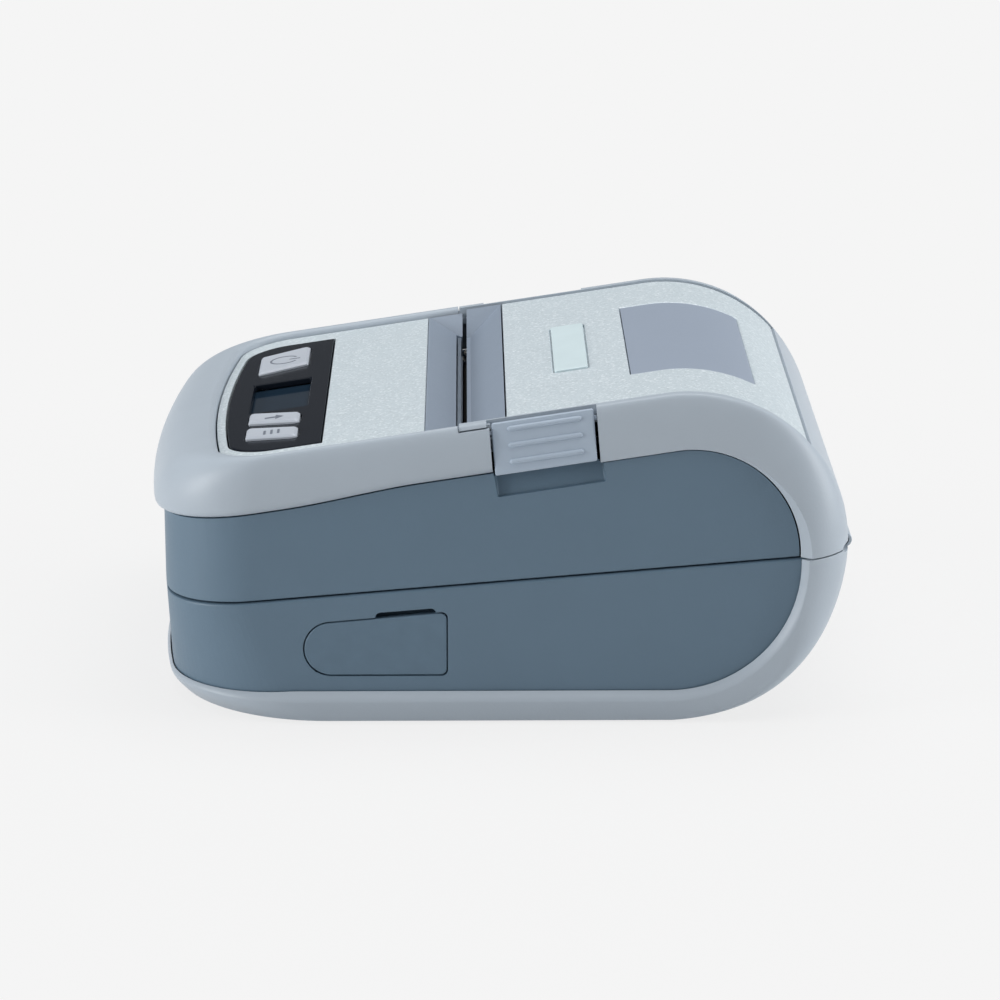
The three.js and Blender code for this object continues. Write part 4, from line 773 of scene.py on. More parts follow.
# The lid's hinge at each side: one knuckle of the lid between two eyes of the case
KNUCKLE_RADIUS = 1.5
HINGE = (REAR + HINGE_PROUD - KNUCKLE_RADIUS, SEAM_REAR)
PIN_RADIUS = 0.6
KNUCKLE_INNER = (HALF - 28, HALF - 24)
LID_KNUCKLE_WIDTH = 8
EYE_WIDTH = 4
KNUCKLE_LID = (KNUCKLE_INNER[1] + GAP, KNUCKLE_INNER[1] + GAP + LID_KNUCKLE_WIDTH)
KNUCKLE_OUTER = (KNUCKLE_LID[1] + GAP, KNUCKLE_LID[1] + GAP + EYE_WIDTH)

# The flap on the near side and the sockets behind it
MECHANISM_FRONT = -14.0
FLAP = {
    "rear": MECHANISM_FRONT + 3.9, "length": 28.0, "height": 10.8, "round": 5.4, "thick": 1.6,
    "corner": 1.2,
}
FLAP["front"] = FLAP["rear"] - FLAP["length"]
FLAP["bottom"] = seam_height(FLAP["front"]) - 15.8
JACK = (FLAP["rear"] - 9.4, FLAP["bottom"] + 5.9)
USB_X = FLAP["front"] + 7.1
USB_Z = JACK[1] - 3
JACK_HOLE = 4.2
USB_HOLE = {"half": 5, "below": 2.3, "above": 3}
NOTCH = {"rise": 1.25, "inset": 2.1, "length": 11.9, "round": 1.2, "depth": 3.2}
PAD_DEPTH = WALL + 2

# Battery, feet and screws underneath
BATTERY = {"x0": FRONT + 18, "x1": MECHANISM_FRONT - 3, "y0": 22 - HALF, "y1": HALF - 18, "height": 18.0}
DOOR = {
    "x0": BATTERY["x0"] - 2, "x1": BATTERY["x1"] + 2, "y0": BATTERY["y0"] - 2, "y1": BATTERY["y1"] + 2,
}
DOOR_THICK = 1.7
GRIPS = {"count": 3, "inset": 2, "step": 1.1, "width": 0.5, "half": 7, "depth": 0.5}
DOOR_PIN = {"barrel": 0.85, "stub": 0.5, "hole": 0.8, "reach": 1.2, "hole_reach": 1.5}
DOOR_HINGE = (DOOR["x1"] - DOOR_PIN["barrel"], 0, CASE_BOTTOM + DOOR_PIN["barrel"])
FOOT_PLACES = {"front": (FRONT + 40, HALF - 9), "rear": (REAR - 43, HALF - 10)}
SCREW_PLACES = {"front": (FRONT + 28.5, HALF - 7), "rear": (FOOT_X + 2.9, HALF - 7)}
SCREW_RISE = 7.0
SCREW_BOTTOM = CASE_BOTTOM + GAP
SCREW = {
    "post": 3.6, "upper_post": 3.3, "hole": 1.5, "head_hole": 2.7, "head_depth": 2.1, "head": 2.4,
    "head_height": 1.8, "shank": 1.2, "tip": 0.7, "tip_height": 0.6, "slot": 0.28, "slot_depth": 0.7,
}
FOOT_RECESS = {"radius": 4.7, "throat": 4.3, "top": 1.8}
FOOT_PROFILE = ((2.6, 0.05), (2.9, 0), (3.6, 0), (3.9, 0.12), (4, 0.4), (4, 1.5))

# Posts that carry the main board
BOARD_HALF = HALF - 11
BOARD_BOTTOM = FLOOR_TOP + GAP + BATTERY["height"] + 1.1
SUPPORT_RADIUS = 1.8
SUPPORT_FRONT = FRONT + 18
SUPPORT_REAR = -18
SUPPORT_PLACES = (
    (SUPPORT_FRONT, 5 - BOARD_HALF), (SUPPORT_REAR, 6.4 - BOARD_HALF),
    (SUPPORT_FRONT, BOARD_HALF - 0.5), (SUPPORT_REAR, BOARD_HALF - 0.5),
)

# Heights at which the lower case's outline is set
CASE_LEVELS = (CASE_BOTTOM, 1.7, 2.6, 3.6, 5, 7, 9.5, 12, 14.5, 17, 19.5, 22)
CASE_TUCK_TOP = 4.2
SKIM = 0.01


def four_places(places):
    return [(x, way * y) for x, y in places.values() for way in (-1, 1)]


def at_height(outline, z):
    return [(x, y, z) for x, y in outline]


def case_side(grow):
    """Side view of the lower case's rear round."""
    radius = CASE_ROUND + grow
    curve = arc(CASE_REAR - CASE_ROUND, SEAM_REAR, radius, -QUARTER, 0, 40)
    return [(-FAR, SEAM_REAR - radius)] + curve + [(CASE_REAR + grow, FAR), (-FAR, FAR)]


def lower_case_form(grow):
    foot = plan_outline("lower_foot", CASE_REAR + grow, -grow, CASE_CORNER + grow)
    top = plan_outline("lower_seam", CASE_REAR + grow, -grow, CASE_CORNER + grow)
    rings = [at_height(foot, CASE_BOTTOM - grow)]
    rings += [at_height(top, z) for z in (seam_height(FRONT), SEAM_REAR + OVERRUN)]
    return keep(skin(rings), across(case_side(grow), -WIDTH, WIDTH))


def case_rings(grow=0.0):
    """Plan rings of the lower case, which tucks in under the jacket at its foot."""
    tucked, foot, top = (
        plan_outline(name, CASE_REAR + grow, -grow, CASE_CORNER + grow, 36, 40)
        for name in ("case_tuck", "lower_foot", "lower_seam")
    )
    rings = []
    for z in CASE_LEVELS:
        share = (z - CASE_BOTTOM) / (seam_height(FRONT) - CASE_BOTTOM)
        under = 1 - smooth(z, CASE_BOTTOM - 1.5, CASE_TUCK_TOP)
        ring = []
        for low, a, b in zip(tucked, foot, top):
            spot = [blend(a[k], b[k], share) for k in (0, 1)]
            ring.append(tuple(blend(spot[k], low[k], min(1, under * 1.25)) for k in (0, 1)))
        rings.append(at_height(ring, z - (grow if z == CASE_BOTTOM else 0)))
    return rings, top


def seam_bevel_steps(bevel):
    """Distances from the seam and insets that round an edge along it."""
    return (bevel, 0), (bevel * 0.4, bevel * 0.25), (0, bevel)


def case_shell():
    """The lower case's outer form with a bevel along the seam."""
    rings, top = case_rings()
    for drop, inset in seam_bevel_steps(sizes().seam_bevel / MM):
        rings.append([(x, y, seam_height(x) - GAP / 2 - drop) for x, y in offset(top, -inset)])
    return keep(skin(rings), across(case_side(0), -WIDTH, WIDTH))


def case_room():
    """The room that the jacket leaves for the lower case."""
    rings, top = case_rings(GAP)
    rings.append(at_height(top, SEAM_REAR + OVERRUN))
    return keep(skin(rings), across(case_side(GAP), -WIDTH, WIDTH))


def hinge_rod(radius, y0, y1, edge=0):
    return rod(radius, y0, y1, "Y", (HINGE[0], 0, HINGE[1]), edge)


def knuckle(span):
    return hinge_rod(KNUCKLE_RADIUS, *span, 0.2)


def pillar(x, y, radius, z0, z1):
    return turned([(radius, z0), (radius, z1)], "Z", (x, y, 0), 32)


def flap_top(x):
    return FLAP["bottom"] + FLAP["height"] + (x - FLAP["front"] - FLAP["round"]) * tan(SEAM_TILT)


def flap_outline(grow):
    end_x, end_z = FLAP["front"] + FLAP["round"], FLAP["bottom"] + FLAP["round"]
    curve = arc(end_x, end_z, FLAP["round"] + grow, QUARTER, 3 * QUARTER, 28)
    rear = FLAP["rear"] + grow
    corner = FLAP["corner"]
    low = arc(rear - corner, FLAP["bottom"] - grow + corner, corner, -QUARTER, 0, 6)
    return curve + low + arc(rear - corner, flap_top(rear) + grow - corner, corner, 0, QUARTER, 6)


def notch_outline():
    """The finger notch over the flap's top edge."""
    rear = FLAP["rear"] - NOTCH["inset"]
    front = rear - NOTCH["length"]
    low = [(x, flap_top(x) - NOTCH["rise"]) for x in (front, rear)]
    high = [(x, flap_top(x) + NOTCH["rise"]) for x in (rear, front)]
    return rounded(low + high, NOTCH["round"], 6)


def side_plate(outline, y_face, depth, edge, flare=0.0):
    """A plate over a side view outline, from a face at y_face inward (y grows) by a depth."""
    turned_round = [(x, -z) for x, z in outline]

    def place(point):
        return (point[0], y_face + depth - point[2], -point[1])

    if not flare:
        return slab(turned_round, 0, depth, edge, place, both=False)
    levels = [(0, 0), (depth - flare, 0), (depth - flare * 0.3, flare * 0.3)]
    levels += [(depth, flare), (depth + 2, flare)]
    return skin([[place((x, y, z)) for x, y in offset(turned_round, grow)] for z, grow in levels])


def hinge_eyes():
    """The case's eyes for the hinge pins, each pair with a web to the case."""
    eyes = []
    for span in (KNUCKLE_INNER, KNUCKLE_OUTER):
        low, high = HINGE[1] - KNUCKLE_RADIUS, seam_height(CASE_REAR) - GAP
        web = box(CASE_REAR - WALL / 2, HINGE[0], *span, low, high)
        eyes += pair(join(knuckle(span), web))
    return cut(join(eyes[0], *eyes[1:]), hinge_rod(PIN_RADIUS + GAP, -WIDTH, WIDTH))


def case_holes(half, inner):
    """Everything cut from the lower case: screws, feet, battery door, port cover and sockets."""
    holes = []
    for x, y in four_places(SCREW_PLACES):
        holes.append(pillar(x, y, SCREW["hole"], -OVERRUN, SEAM_REAR + OVERRUN))
        holes.append(pillar(x, y, SCREW["head_hole"], -OVERRUN, SCREW_BOTTOM + SCREW["head_depth"]))
    wide, narrow = FOOT_RECESS["radius"], FOOT_RECESS["throat"]
    recess = [(wide, -OVERRUN), (wide, CASE_BOTTOM), (narrow, CASE_BOTTOM + wide - narrow)]
    recess.append((narrow, FOOT_RECESS["top"]))
    for x, y in four_places(FOOT_PLACES):
        holes.append(turned(recess, "Z", (x, y, 0)))
    x0, x1, y0, y1 = (DOOR[name] for name in ("x0", "x1", "y0", "y1"))
    opening = rounded(rectangle(x0 - GAP, x1 + GAP, y0 - GAP, y1 + GAP), 1.2)
    holes.append(upright(opening, -OVERRUN, FLOOR_TOP + GAP))
    reach = DOOR_PIN["hole_reach"]
    holes.append(rod(DOOR_PIN["hole"], y0 - reach, y1 + reach, "Y", DOOR_HINGE, 0))
    face = -half - SKIM
    holes.append(side_plate(flap_outline(GAP * 0.7), face, FLAP["thick"] + GAP, 0, 0.2))
    holes.append(side_plate(notch_outline(), face, NOTCH["depth"], 0, 0.15))
    holes.append(rod(JACK_HOLE, -half, -inner + OVERRUN, "Y", (JACK[0], 0, JACK[1]), 0))
    usb = USB_HOLE["half"]
    low, high = USB_Z - USB_HOLE["below"], USB_Z + USB_HOLE["above"]
    holes.append(box(USB_X - usb, USB_X + usb, -half, -inner + GAP, low, high))
    return holes


def build_lower_case():
    half = PLANS["lower_seam"][0]
    inner = half - PAD_DEPTH
    shell = cut(case_shell(), lower_case_form(-WALL))
    low, high = FLAP["bottom"] - WALL, seam_height(FLAP["front"])
    pad = box(FLAP["front"] - WALL, FLAP["rear"] + WALL, -half + GAP, -inner, low, high)
    foot = CASE_BOTTOM + GAP
    posts = [pillar(x, y, SCREW["post"], foot, SEAM_REAR) for x, y in four_places(SCREW_PLACES)]
    posts += [pillar(x, y, SUPPORT_RADIUS, foot, BOARD_BOTTOM) for x, y in SUPPORT_PLACES]
    shell = keep(join(shell, pad, *posts), below_seam(), lower_case_form(0))
    piece(hinge_eyes(), "lower_case", "light_grey_plastic", "hinge_eyes", stands_for=False)
    piece(cut(shell, *case_holes(half, inner)), "lower_case")


def bumper_ring(z, inset=0.0):
    """Plan outline of the jacket at a height: it swells over the foot and follows the rear round."""
    share = smooth(z, STANDOFF - 2, STANDOFF + BUMPER_BULGE + 0.4)
    plan = tuple(blend(a, b, share) for a, b in zip(PLANS["bumper_foot"], PLANS["bumper"]))
    reach = sqrt(max(0, FOOT_RADIUS**2 - (SEAM_REAR - z) ** 2))
    rear_end = min(REAR, FOOT_X + reach) if z < SEAM_REAR else REAR
    corner = blend(BUMPER_FOOT_CORNER, REAR_CORNER, smooth(z, *BUMPER_CORNER_RISE))
    return plan_outline(plan, rear_end - inset, inset, corner)


def shoulder(angle):
    """Drop of the jacket's rounded shoulder, between a chamfer and a full round."""
    return blend(1 - cos(angle), sin(angle), 0.45)


def bumper_body():
    rings = [at_height(bumper_ring(STANDOFF + 2 * SKIM, BUMPER_EDGE), STANDOFF)]
    for angle in spaced(radians(4), QUARTER, 46):
        z = SEAM_REAR - FOOT_RADIUS * cos(angle)
        rings.append(at_height(bumper_ring(z), z))
    rings.append(at_height(bumper_ring(SEAM_REAR), SEAM_REAR + OVERRUN))
    return skin(rings)


def bumper_side_window(y, spread):
    """Side view of the slate panel inside the jacket, larger towards the outside."""
    x, z, radius = LOWER_ROUND
    low = [(-FAR, BUMPER_TOP - spread)] + arc(x, z, radius + spread, -QUARTER, 0, 44)
    return [(px, y, pz) for px, pz in low + [(x + radius + spread, FAR), (-FAR, FAR)]]


def bumper_front_shoulder():
    rings = []
    for angle in spaced(QUARTER, 0, 9):
        outline = plan_outline("bumper", FAR, CHAMFER * (1 - sin(angle)))
        rings.append(at_height(outline, BUMPER_TOP - CHAMFER * shoulder(angle)))
    return cut(box(-FAR, 0, -WIDTH, WIDTH, BUMPER_TOP - CHAMFER, BUMPER_TOP + GAP), skin(rings))


def build_bumper():
    body = bumper_body()
    levels = [(HALF + CHAMFER, 2.6 * CHAMFER), (HALF + 2 * SKIM, CHAMFER)]
    for angle in spaced(radians(80), 0, 9):
        levels.append((HALF - CHAMFER + CHAMFER * sin(angle), CHAMFER * shoulder(angle)))
    rings = [bumper_side_window(-y, grow) for y, grow in levels]
    side_windows = skin(rings + [bumper_side_window(y, grow) for y, grow in reversed(levels)])
    front_shoulder = bumper_front_shoulder()
    tucked = plan_outline("case_tuck", FOOT_X + CASE_CORNER, -GAP)
    underside = upright(tucked, -OVERRUN, CASE_BOTTOM + WALL)
    low = HINGE[1] - KNUCKLE_RADIUS - GAP
    notches = pair(box(CASE_REAR, FAR, KNUCKLE_INNER[0] - GAP, KNUCKLE_OUTER[1] + GAP, low, FAR))
    relief = hinge_rod(PIN_RADIUS + GAP, -WIDTH, WIDTH)
    tools = [case_room(), side_windows, front_shoulder, underside, *notches, relief]
    piece(cut(keep(body, below_seam()), *tools), "base_bumper")


# Latches and the finger recesses under them, along and down from the deck
LATCH = {"s0": -1.4, "s1": 18.6, "top": -0.4, "bottom": -10.4, "lean": tan(radians(4.1)), "pivot_n": -2.4}
LATCH_ENDS = ((0, 0.4), (0.06, 0.22), (0.18, 0.07), (0.4, 0))
LATCH_FACE = HALF - 3.2
LATCH_PIN = 0.5
LATCH_PIN_Y = HALF - 4
NIB = {"s0": 7.6, "s1": 11.8, "inner": HALF - 6.8, "height": 1.2}
RIBS = {"top": -1.8, "step": 3.15, "middle": 8.9, "slope": 0.2, "taper": 0.6, "deep": 0.55, "half": 0.52}
RECESS = {"s0": -2.4, "s1": 19.0, "bottom": -15.0, "top": -9.9, "end": 0.5}
RECESS_X = -0.9
LID_BAND_START = (LATCH["s1"] + 1.225) * cos(DECK_TILT)
FRONT_SLIT = 0.45
REAR_SLIT = 0.6
EAR_HALF = HALF - 3.7


def upper_case_top():
    """Side view of the upper case's top edge, under the cover's band, the latch and the lid."""
    points = [(x, band_height(x) - GAP) for x in spaced(FRONT, BAND["bend_start"], 30)]
    points = [(-FAR, band_height(FRONT) - GAP)] + points + [(RECESS_X, band_height(RECESS_X) - GAP)]
    drop = (-LATCH["bottom"] + GAP) / cos(DECK_TILT)
    points += [(x, deck_height(x) - drop) for x in (RECESS_X, LID_BAND_START)]
    x, z, radius = UPPER_ROUND
    rise = z - deck_height(x) + (radius - GAP) / cos(DECK_TILT)
    points.append((LID_BAND_START, deck_height(LID_BAND_START) + rise))
    points += arc(x, z, radius - GAP, QUARTER + DECK_TILT, 0, 48)
    return points + [(x + radius - GAP, 0), (-FAR, 0)]


def leaning(point):
    """Places a point of the deck frame on lines that lean with the ends of the latches."""
    s, y, n = point
    return on_deck((s + n * LATCH["lean"], y, n))


def scoop():
    """The finger recess under a latch: a shelf along its lower edge, deeper towards the top."""
    steps = spaced(0, RECESS["end"], 5)
    ends = [(RECESS["s0"] + away, away) for away in steps]
    ends += [(RECESS["s1"] - away, away) for away in reversed(steps)]
    sections = []
    for s, away in ends:
        depth = sqrt(max(0.0, 1 - (1 - away / RECESS["end"]) ** 2))
        low = RECESS["bottom"] + 0.3 * (1 - depth)
        shelf = HALF - 2.5 - 0.7 * depth
        deep = HALF - 2.6 - 2.1 * depth
        curve = [(HALF - 2.2, low - 0.15), (HALF - 2.45, low), (shelf, low + 0.12)]
        for t in spaced(0, 1, 8):
            curve.append((blend(shelf, deep, t), blend(low + 0.25, RECESS["top"], t)))
        curve += [(HALF + 2, RECESS["top"]), (HALF + 2, low - 0.15)]
        sections.append([on_deck((s, y, n)) for y, n in curve])
    return skin(sections)


def build_upper_case():
    outer = plan_outline("upper", FAR)
    rings = []
    for rise, inset in reversed(seam_bevel_steps(sizes().seam_bevel / MM * 0.8)):
        rings.append([(x, y, seam_height(x) + GAP / 2 + rise) for x, y in offset(outer, -inset)])
    rings.append(at_height(outer, FAR))
    shell = cut(skin(rings), upright(plan_outline("upper", 2 * FAR, WALL), -OVERRUN, 2 * FAR))
    low, high = RECESS["bottom"] - WALL, LATCH["bottom"] - GAP - 0.6
    pads = pair(box(RECESS["s0"] - WALL, RECESS["s1"] + WALL, HALF - 5.5, HALF - 2.7, low, high, on_deck))
    posts = []
    holes = []
    for x, y in four_places(SCREW_PLACES):
        tip = seam_height(x) + SCREW_RISE
        posts.append(pillar(x, y, SCREW["upper_post"], seam_height(x), tip + WALL))
        holes.append(pillar(x, y, SCREW["hole"], 0, tip + GAP))
    shell = keep(join(shell, *pads, *posts), across(upper_case_top(), -WIDTH, WIDTH), above_seam())
    piece(cut(shell, *pair(scoop()), *holes), "upper_case")


# Front cover, silver panel, bezel, display and keys

LIP_FRONT = -7.6
LIP_DEPTH = 0.9
TROUGH_FRONT = -14.5
DECK_SINK = 1.2
PANEL_THICK = 1.6
RIM_LEVELS = (
    (-OVERRUN, 0), (-1.3, 0), (-0.75, 0.12), (-0.35, 0.4), (-0.12, 0.75), (-0.02, 1.1), (OVERRUN, 1.3),
)


def dome(inset):
    """The cover's domed form: quarter ellipses from the crest on the deck down to the widest line."""
    crest_plan = plan_outline("crest", along_deck(HALF), inset, side_steps=30)
    wide_plan = plan_outline("cover", HALF, inset, side_steps=30)
    crest = [on_deck((x, y, -inset)) for x, y in crest_plan]
    wide = [(x, y, band_height(x) + BAND["lip"]) for x, y in wide_plan]
    rings = []
    for angle in spaced(0, QUARTER, 18):
        ring = []
        for a, b in zip(crest, wide):
            x, y = (blend(a[k], b[k], sin(angle)) for k in (0, 1))
            ring.append((x, y, blend(b[2], a[2], cos(angle))))
        rings.append(ring)
    steps = ((0, 0),) if inset else ((0.62, 0.12), (0.3, 0.4), (0, BAND["undercut"]))
    for rise, tuck in steps:
        outline = plan_outline("cover", HALF, inset + tuck, side_steps=30)
        rings.append([(x, y, band_height(x) + rise * BAND["lip"]) for x, y in outline])
    rings.append(at_height([point[:2] for point in rings[-1]], 0))
    return skin(rings)


def build_front_cover():
    low = [(x, band_height(x)) for x in spaced(FRONT, BAND["bend_start"], 30)]
    ends = [(FAR, band_height(FAR)), (FAR, FAR), (-FAR, FAR)]
    region = across([(-FAR, band_height(FRONT))] + low + ends, -WIDTH, WIDTH)
    groove = plan_outline("groove", FAR)
    opening = skin([[on_deck((x, y, n)) for x, y in offset(groove, grow)] for n, grow in RIM_LEVELS])
    beyond = box(LATCH["s0"] - FRONT_SLIT, FAR, -WIDTH, WIDTH, -FAR, FAR, leaning)
    inside = box(BAND["end"], FAR, -EAR_HALF - GAP, EAR_HALF + GAP, 0, FAR)
    lid_lip = box(along_deck(LIP_FRONT) - GAP, FAR, -WIDTH, WIDTH, -LIP_DEPTH - GAP, FAR, on_deck)
    piece(cut(keep(dome(0), region), dome(WALL), opening, beyond, inside, lid_lip), "front_cover")


BEZEL_TOP = -1.1
BEZEL_THICK = 1.2
BEZEL_BOTTOM = BEZEL_TOP - BEZEL_THICK
BEZEL_REAR = FRONT + 34.7
WINDOW_S = (FRONT + 18.9, FRONT + 30.8)
BEZEL_HALF = PLANS["bezel"][0]
WINDOW_Y = (30 - BEZEL_HALF, BEZEL_HALF - 31)
KEY_S = (FRONT + 19.3, FRONT + 29.8)
KEY_INSETS = {
    "power_key": (23.9, 10.3, 20.2, 6.1),
    "feed_key": (27.6, 20.6, 23.5, 17),
    "mode_key": (16.4, 9.3, 12.4, 6),
}
KEY_CORNER = 1.3
KEY_PLAY = 0.25
KEY_TOP = -0.4
KEY_BOTTOM = -4.4
POWER_GAP = radians(32)
KEY_FLANGE = {"reach": 0.8, "corner": 1.4, "thick": 0.6}
GLASS_LAP = 0.7
GLASS_TOP = BEZEL_BOTTOM - GAP
GLASS_BOTTOM = GLASS_TOP - 0.8
MODULE_TOP = GLASS_BOTTOM - GAP
MODULE_BOTTOM = MODULE_TOP - 2.4


def key_corners(node):
    """The corners of a key, wider apart at its front than at its rear."""
    front, rear = KEY_S
    far_front, near_front, far_rear, near_rear = (BEZEL_HALF - inset for inset in KEY_INSETS[node])
    corners = [(front, far_front), (rear, far_rear), (rear, near_rear), (front, near_front)]
    return corners if node == "power_key" else [(s, -y) for s, y in corners]


def deck_cutter(outline, flare, low=-OVERRUN, face=BEZEL_TOP):
    """A cutter through a deck plate whose mouth widens towards the face."""
    levels = [(low, 0), (face - flare, 0), (face - 0.4 * flare, 0.2 * flare)]
    levels += [(face, 0.75 * flare), (OVERRUN, flare)]
    return skin([[on_deck((x, y, n)) for x, y in offset(outline, grow)] for n, grow in levels])


def build_front_panel():
    outline = plan_outline("groove", along_deck(TROUGH_FRONT), GAP)
    sheet = slab(outline, -DECK_SINK - PANEL_THICK, -DECK_SINK, 0.25, on_deck)
    hole = plan_outline("bezel", BEZEL_REAR + GAP, -GAP)
    piece(cut(sheet, deck_cutter(hole, 0.2, face=-DECK_SINK)), "front_panel")


def build_bezel():
    sheet = slab(plan_outline("bezel", BEZEL_REAR), BEZEL_BOTTOM, BEZEL_TOP, 0.3, on_deck, both=False)
    openings = [deck_cutter(rounded(rectangle(*WINDOW_S, *WINDOW_Y), 0.5), 0.5)]
    for node in KEY_INSETS:
        outline = offset(rounded(key_corners(node), KEY_CORNER), KEY_PLAY)
        openings.append(deck_cutter(outline, KEY_PLAY))
    piece(cut(sheet, *openings), "display_bezel")
    s0, y0 = WINDOW_S[0] - GLASS_LAP, WINDOW_Y[0] - GLASS_LAP
    s1, y1 = WINDOW_S[1] + GLASS_LAP, WINDOW_Y[1] + GLASS_LAP
    piece(block(s0, s1, y0, y1, GLASS_BOTTOM, GLASS_TOP, 0.12, 0.3, on_deck), "display_glass")
    piece(block(s0, s1, y0, y1, MODULE_BOTTOM, MODULE_TOP, 0.2, 0.5, on_deck), "display_module")
    for node, width in (("display_board", 0.12), ("power_mat", 0.2), ("menu_mat", 0.2)):
        piece(from_cad(node, width), node)


def key_cap(node):
    """A key with a sloped rim, a faintly hollow top and its flange."""
    crown = sizes().key_crown / MM
    corners = key_corners(node)
    levels = [(KEY_BOTTOM, 0), (KEY_TOP - 0.5, 0), (KEY_TOP - 0.42, 0.03), (KEY_TOP - 0.04, crown - 0.08)]
    levels += [(KEY_TOP, crown), (KEY_TOP - 0.03, crown + 0.4), (KEY_TOP - 0.14, crown + 1.4)]
    outlines = [(n, rounded(offset(corners, -inset), 0.6, 6)) for n, inset in levels]
    cap = skin([[on_deck((x, y, n)) for x, y in outline] for n, outline in outlines])
    plan = rounded(offset(corners, KEY_FLANGE["reach"]), KEY_FLANGE["corner"], 6)
    top = BEZEL_BOTTOM - GAP
    return join(cap, slab(plan, top - KEY_FLANGE["thick"], top, 0.1, on_deck))


def key_mark(strokes, node, name):
    """A printed sign on a key: bars and arcs as closed outlines in the key's own plane."""
    corners = key_corners(node)
    s = sum(x for x, y in corners) / 4
    y = sum(y for x, y in corners) / 4
    parts = []
    for outline in strokes:
        placed = [(s + a, y + b) for a, b in outline]
        parts.append(slab(placed, KEY_TOP - 0.2, KEY_TOP - 0.09, 0.01, on_deck))
    obj = join(parts[0], *parts[1:]) if len(parts) > 1 else parts[0]
    piece(obj, node, "key_print", name, stands_for=False)


def ring_segment(radius, width, start, end, count=28):
    outer = arc(0, 0, radius + width / 2, start, end, count)
    return outer + arc(0, 0, radius - width / 2, end, start, count)


def bar(x0, x1, y0, y1):
    return rounded(rectangle(x0, x1, y0, y1), 0.15, 3)


def build_keys():
    for node in KEY_INSETS:
        piece(key_cap(node), node)
    ring = ring_segment(2.9, 0.42, POWER_GAP, 2 * pi - POWER_GAP)
    key_mark([ring, bar(1.1, 3.4, -0.22, 0.22)], "power_key", "power_mark")
    arrow = [(1.9, 0), (0.3, 1.5), (0.3, 0.45), (-1.9, 0.45), (-1.9, -0.45), (0.3, -0.45), (0.3, -1.5)]
    key_mark([arrow], "feed_key", "feed_mark")
    lines = [bar(s - 0.25, s + 0.25, -1.5, 1.5) for s in (-1.4, 0, 1.4)]
    key_mark(lines, "mode_key", "menu_mark")


# Paper exit

PAPER_HALF = HALF - 13
EXIT_HALF = PAPER_HALF + 2
CHEEK_HALF = HALF - 5.6
LEDGE_FRONT = -8.0
LEDGE_REAR = -6.9
LEDGE_DEPTH = 5
SLOT_FRONT = LEDGE_FRONT - 0.2
SLOT_DEPTH = 4.3
SLOPE_DEPTH = 8.6
CHEEK_RISE = 1.2
SLIT_REAR = LEDGE_REAR + 0.9
SLIT_DEPTH = 5.5
LID_EDGE = 1.4
LID_SINK = 0.4
LID_SLOPE_DEPTH = 7
TROUGH_TOP_FRONT = TROUGH_FRONT + GAP


def pyramid(front_low, front_top, rear_low, rear_top, depth, top, half_top):
    """The hollow over the paper slit, whose ends slope from the rim down to the slit's ends."""
    low_n, top_n = -depth * cos(DECK_TILT), -top
    grow = OVERRUN / (top_n - low_n)
    rings = []
    for n, share in ((low_n, 0), (top_n, 1), (top_n + OVERRUN, 1 + grow)):
        x0, x1 = blend(front_low, front_top, share), blend(rear_low, rear_top, share)
        half = blend(EXIT_HALF, half_top, share)
        rings.append([on_deck((along_deck(x), y, n)) for x, y in rectangle(x0, x1, -half, half)])
    return skin(rings)


def below_deck(x, sink):
    return x, deck_height(x) - sink / cos(DECK_TILT)


def exit_slope_front():
    """The slope from the silver panel down to the slit, with a cheek at each end."""
    front, rear = (below_deck(x, DECK_SINK) for x in (TROUGH_TOP_FRONT, LEDGE_REAR))
    low = deck_height(TROUGH_TOP_FRONT) - SLOPE_DEPTH
    low_x = TROUGH_TOP_FRONT + (front[1] - low) * tan(DECK_TILT)
    body = across([(low_x, low), (LEDGE_REAR, low), rear, front], -EXIT_HALF, EXIT_HALF)
    raised = low + CHEEK_RISE
    cheek = across([(low_x, raised), (LEDGE_REAR, raised), rear, front], EXIT_HALF - 1, CHEEK_HALF)
    body = join(body, *pair(cheek))
    hollow = pyramid(LEDGE_FRONT, TROUGH_TOP_FRONT + 0.1, FAR, FAR, LEDGE_DEPTH, DECK_SINK, CHEEK_HALF)
    bottom = deck_height(LEDGE_REAR) - LEDGE_DEPTH - SLOT_DEPTH
    slot = box(SLOT_FRONT, LEDGE_REAR, -EXIT_HALF + GAP, EXIT_HALF - GAP, bottom, FAR)
    return cut(body, hollow, slot)


def exit_slope_lid():
    """The lid's side of the paper exit."""
    half = CHEEK_HALF - GAP
    bottom = deck_height(0) - LID_SLOPE_DEPTH
    outline = [(SLIT_REAR, bottom), (LID_EDGE, bottom)]
    outline += [below_deck(x, LID_SINK) for x in (LID_EDGE, SLIT_REAR)]
    hollow = pyramid(-FAR, -FAR, SLIT_REAR, LID_EDGE - 0.1, SLIT_DEPTH, LID_SINK, half)
    return cut(across(outline, -half, half), hollow)


def build_paper_exit():
    piece(exit_slope_front(), "exit_slope_front", crease=20)
    piece(from_cad("tear_bar", 0), "tear_bar")
    piece(exit_slope_lid(), "exit_slope_lid", crease=20)


# Lid

TANGENT_X = CROWN_X - CROWN_RADIUS * sin(DECK_TILT)
LID_THICK = 3.6
LID_POCKET = 2.3
LID_LOW_HALF = HALF - 1.7
LEAST_CHAMFER = 0.15
PANEL_HALF = HALF - 5.4
LEDGE_HALF = HALF - 8
PANEL_END = radians(41.5)
OPEN_START = TANGENT_X - 20.193
OPEN_END = radians(48)
SLOPE_END = 1.7
WINDOW_START = TANGENT_X - 5.793
WINDOW_END = radians(62.7)
WINDOW_HALF = 28.0
WINDOW_CORNER = 1.6
LIP_EDGE = HALF - 4.9
LABEL_REAR = WINDOW_START - 8.1
LABEL_LENGTH = 6.7


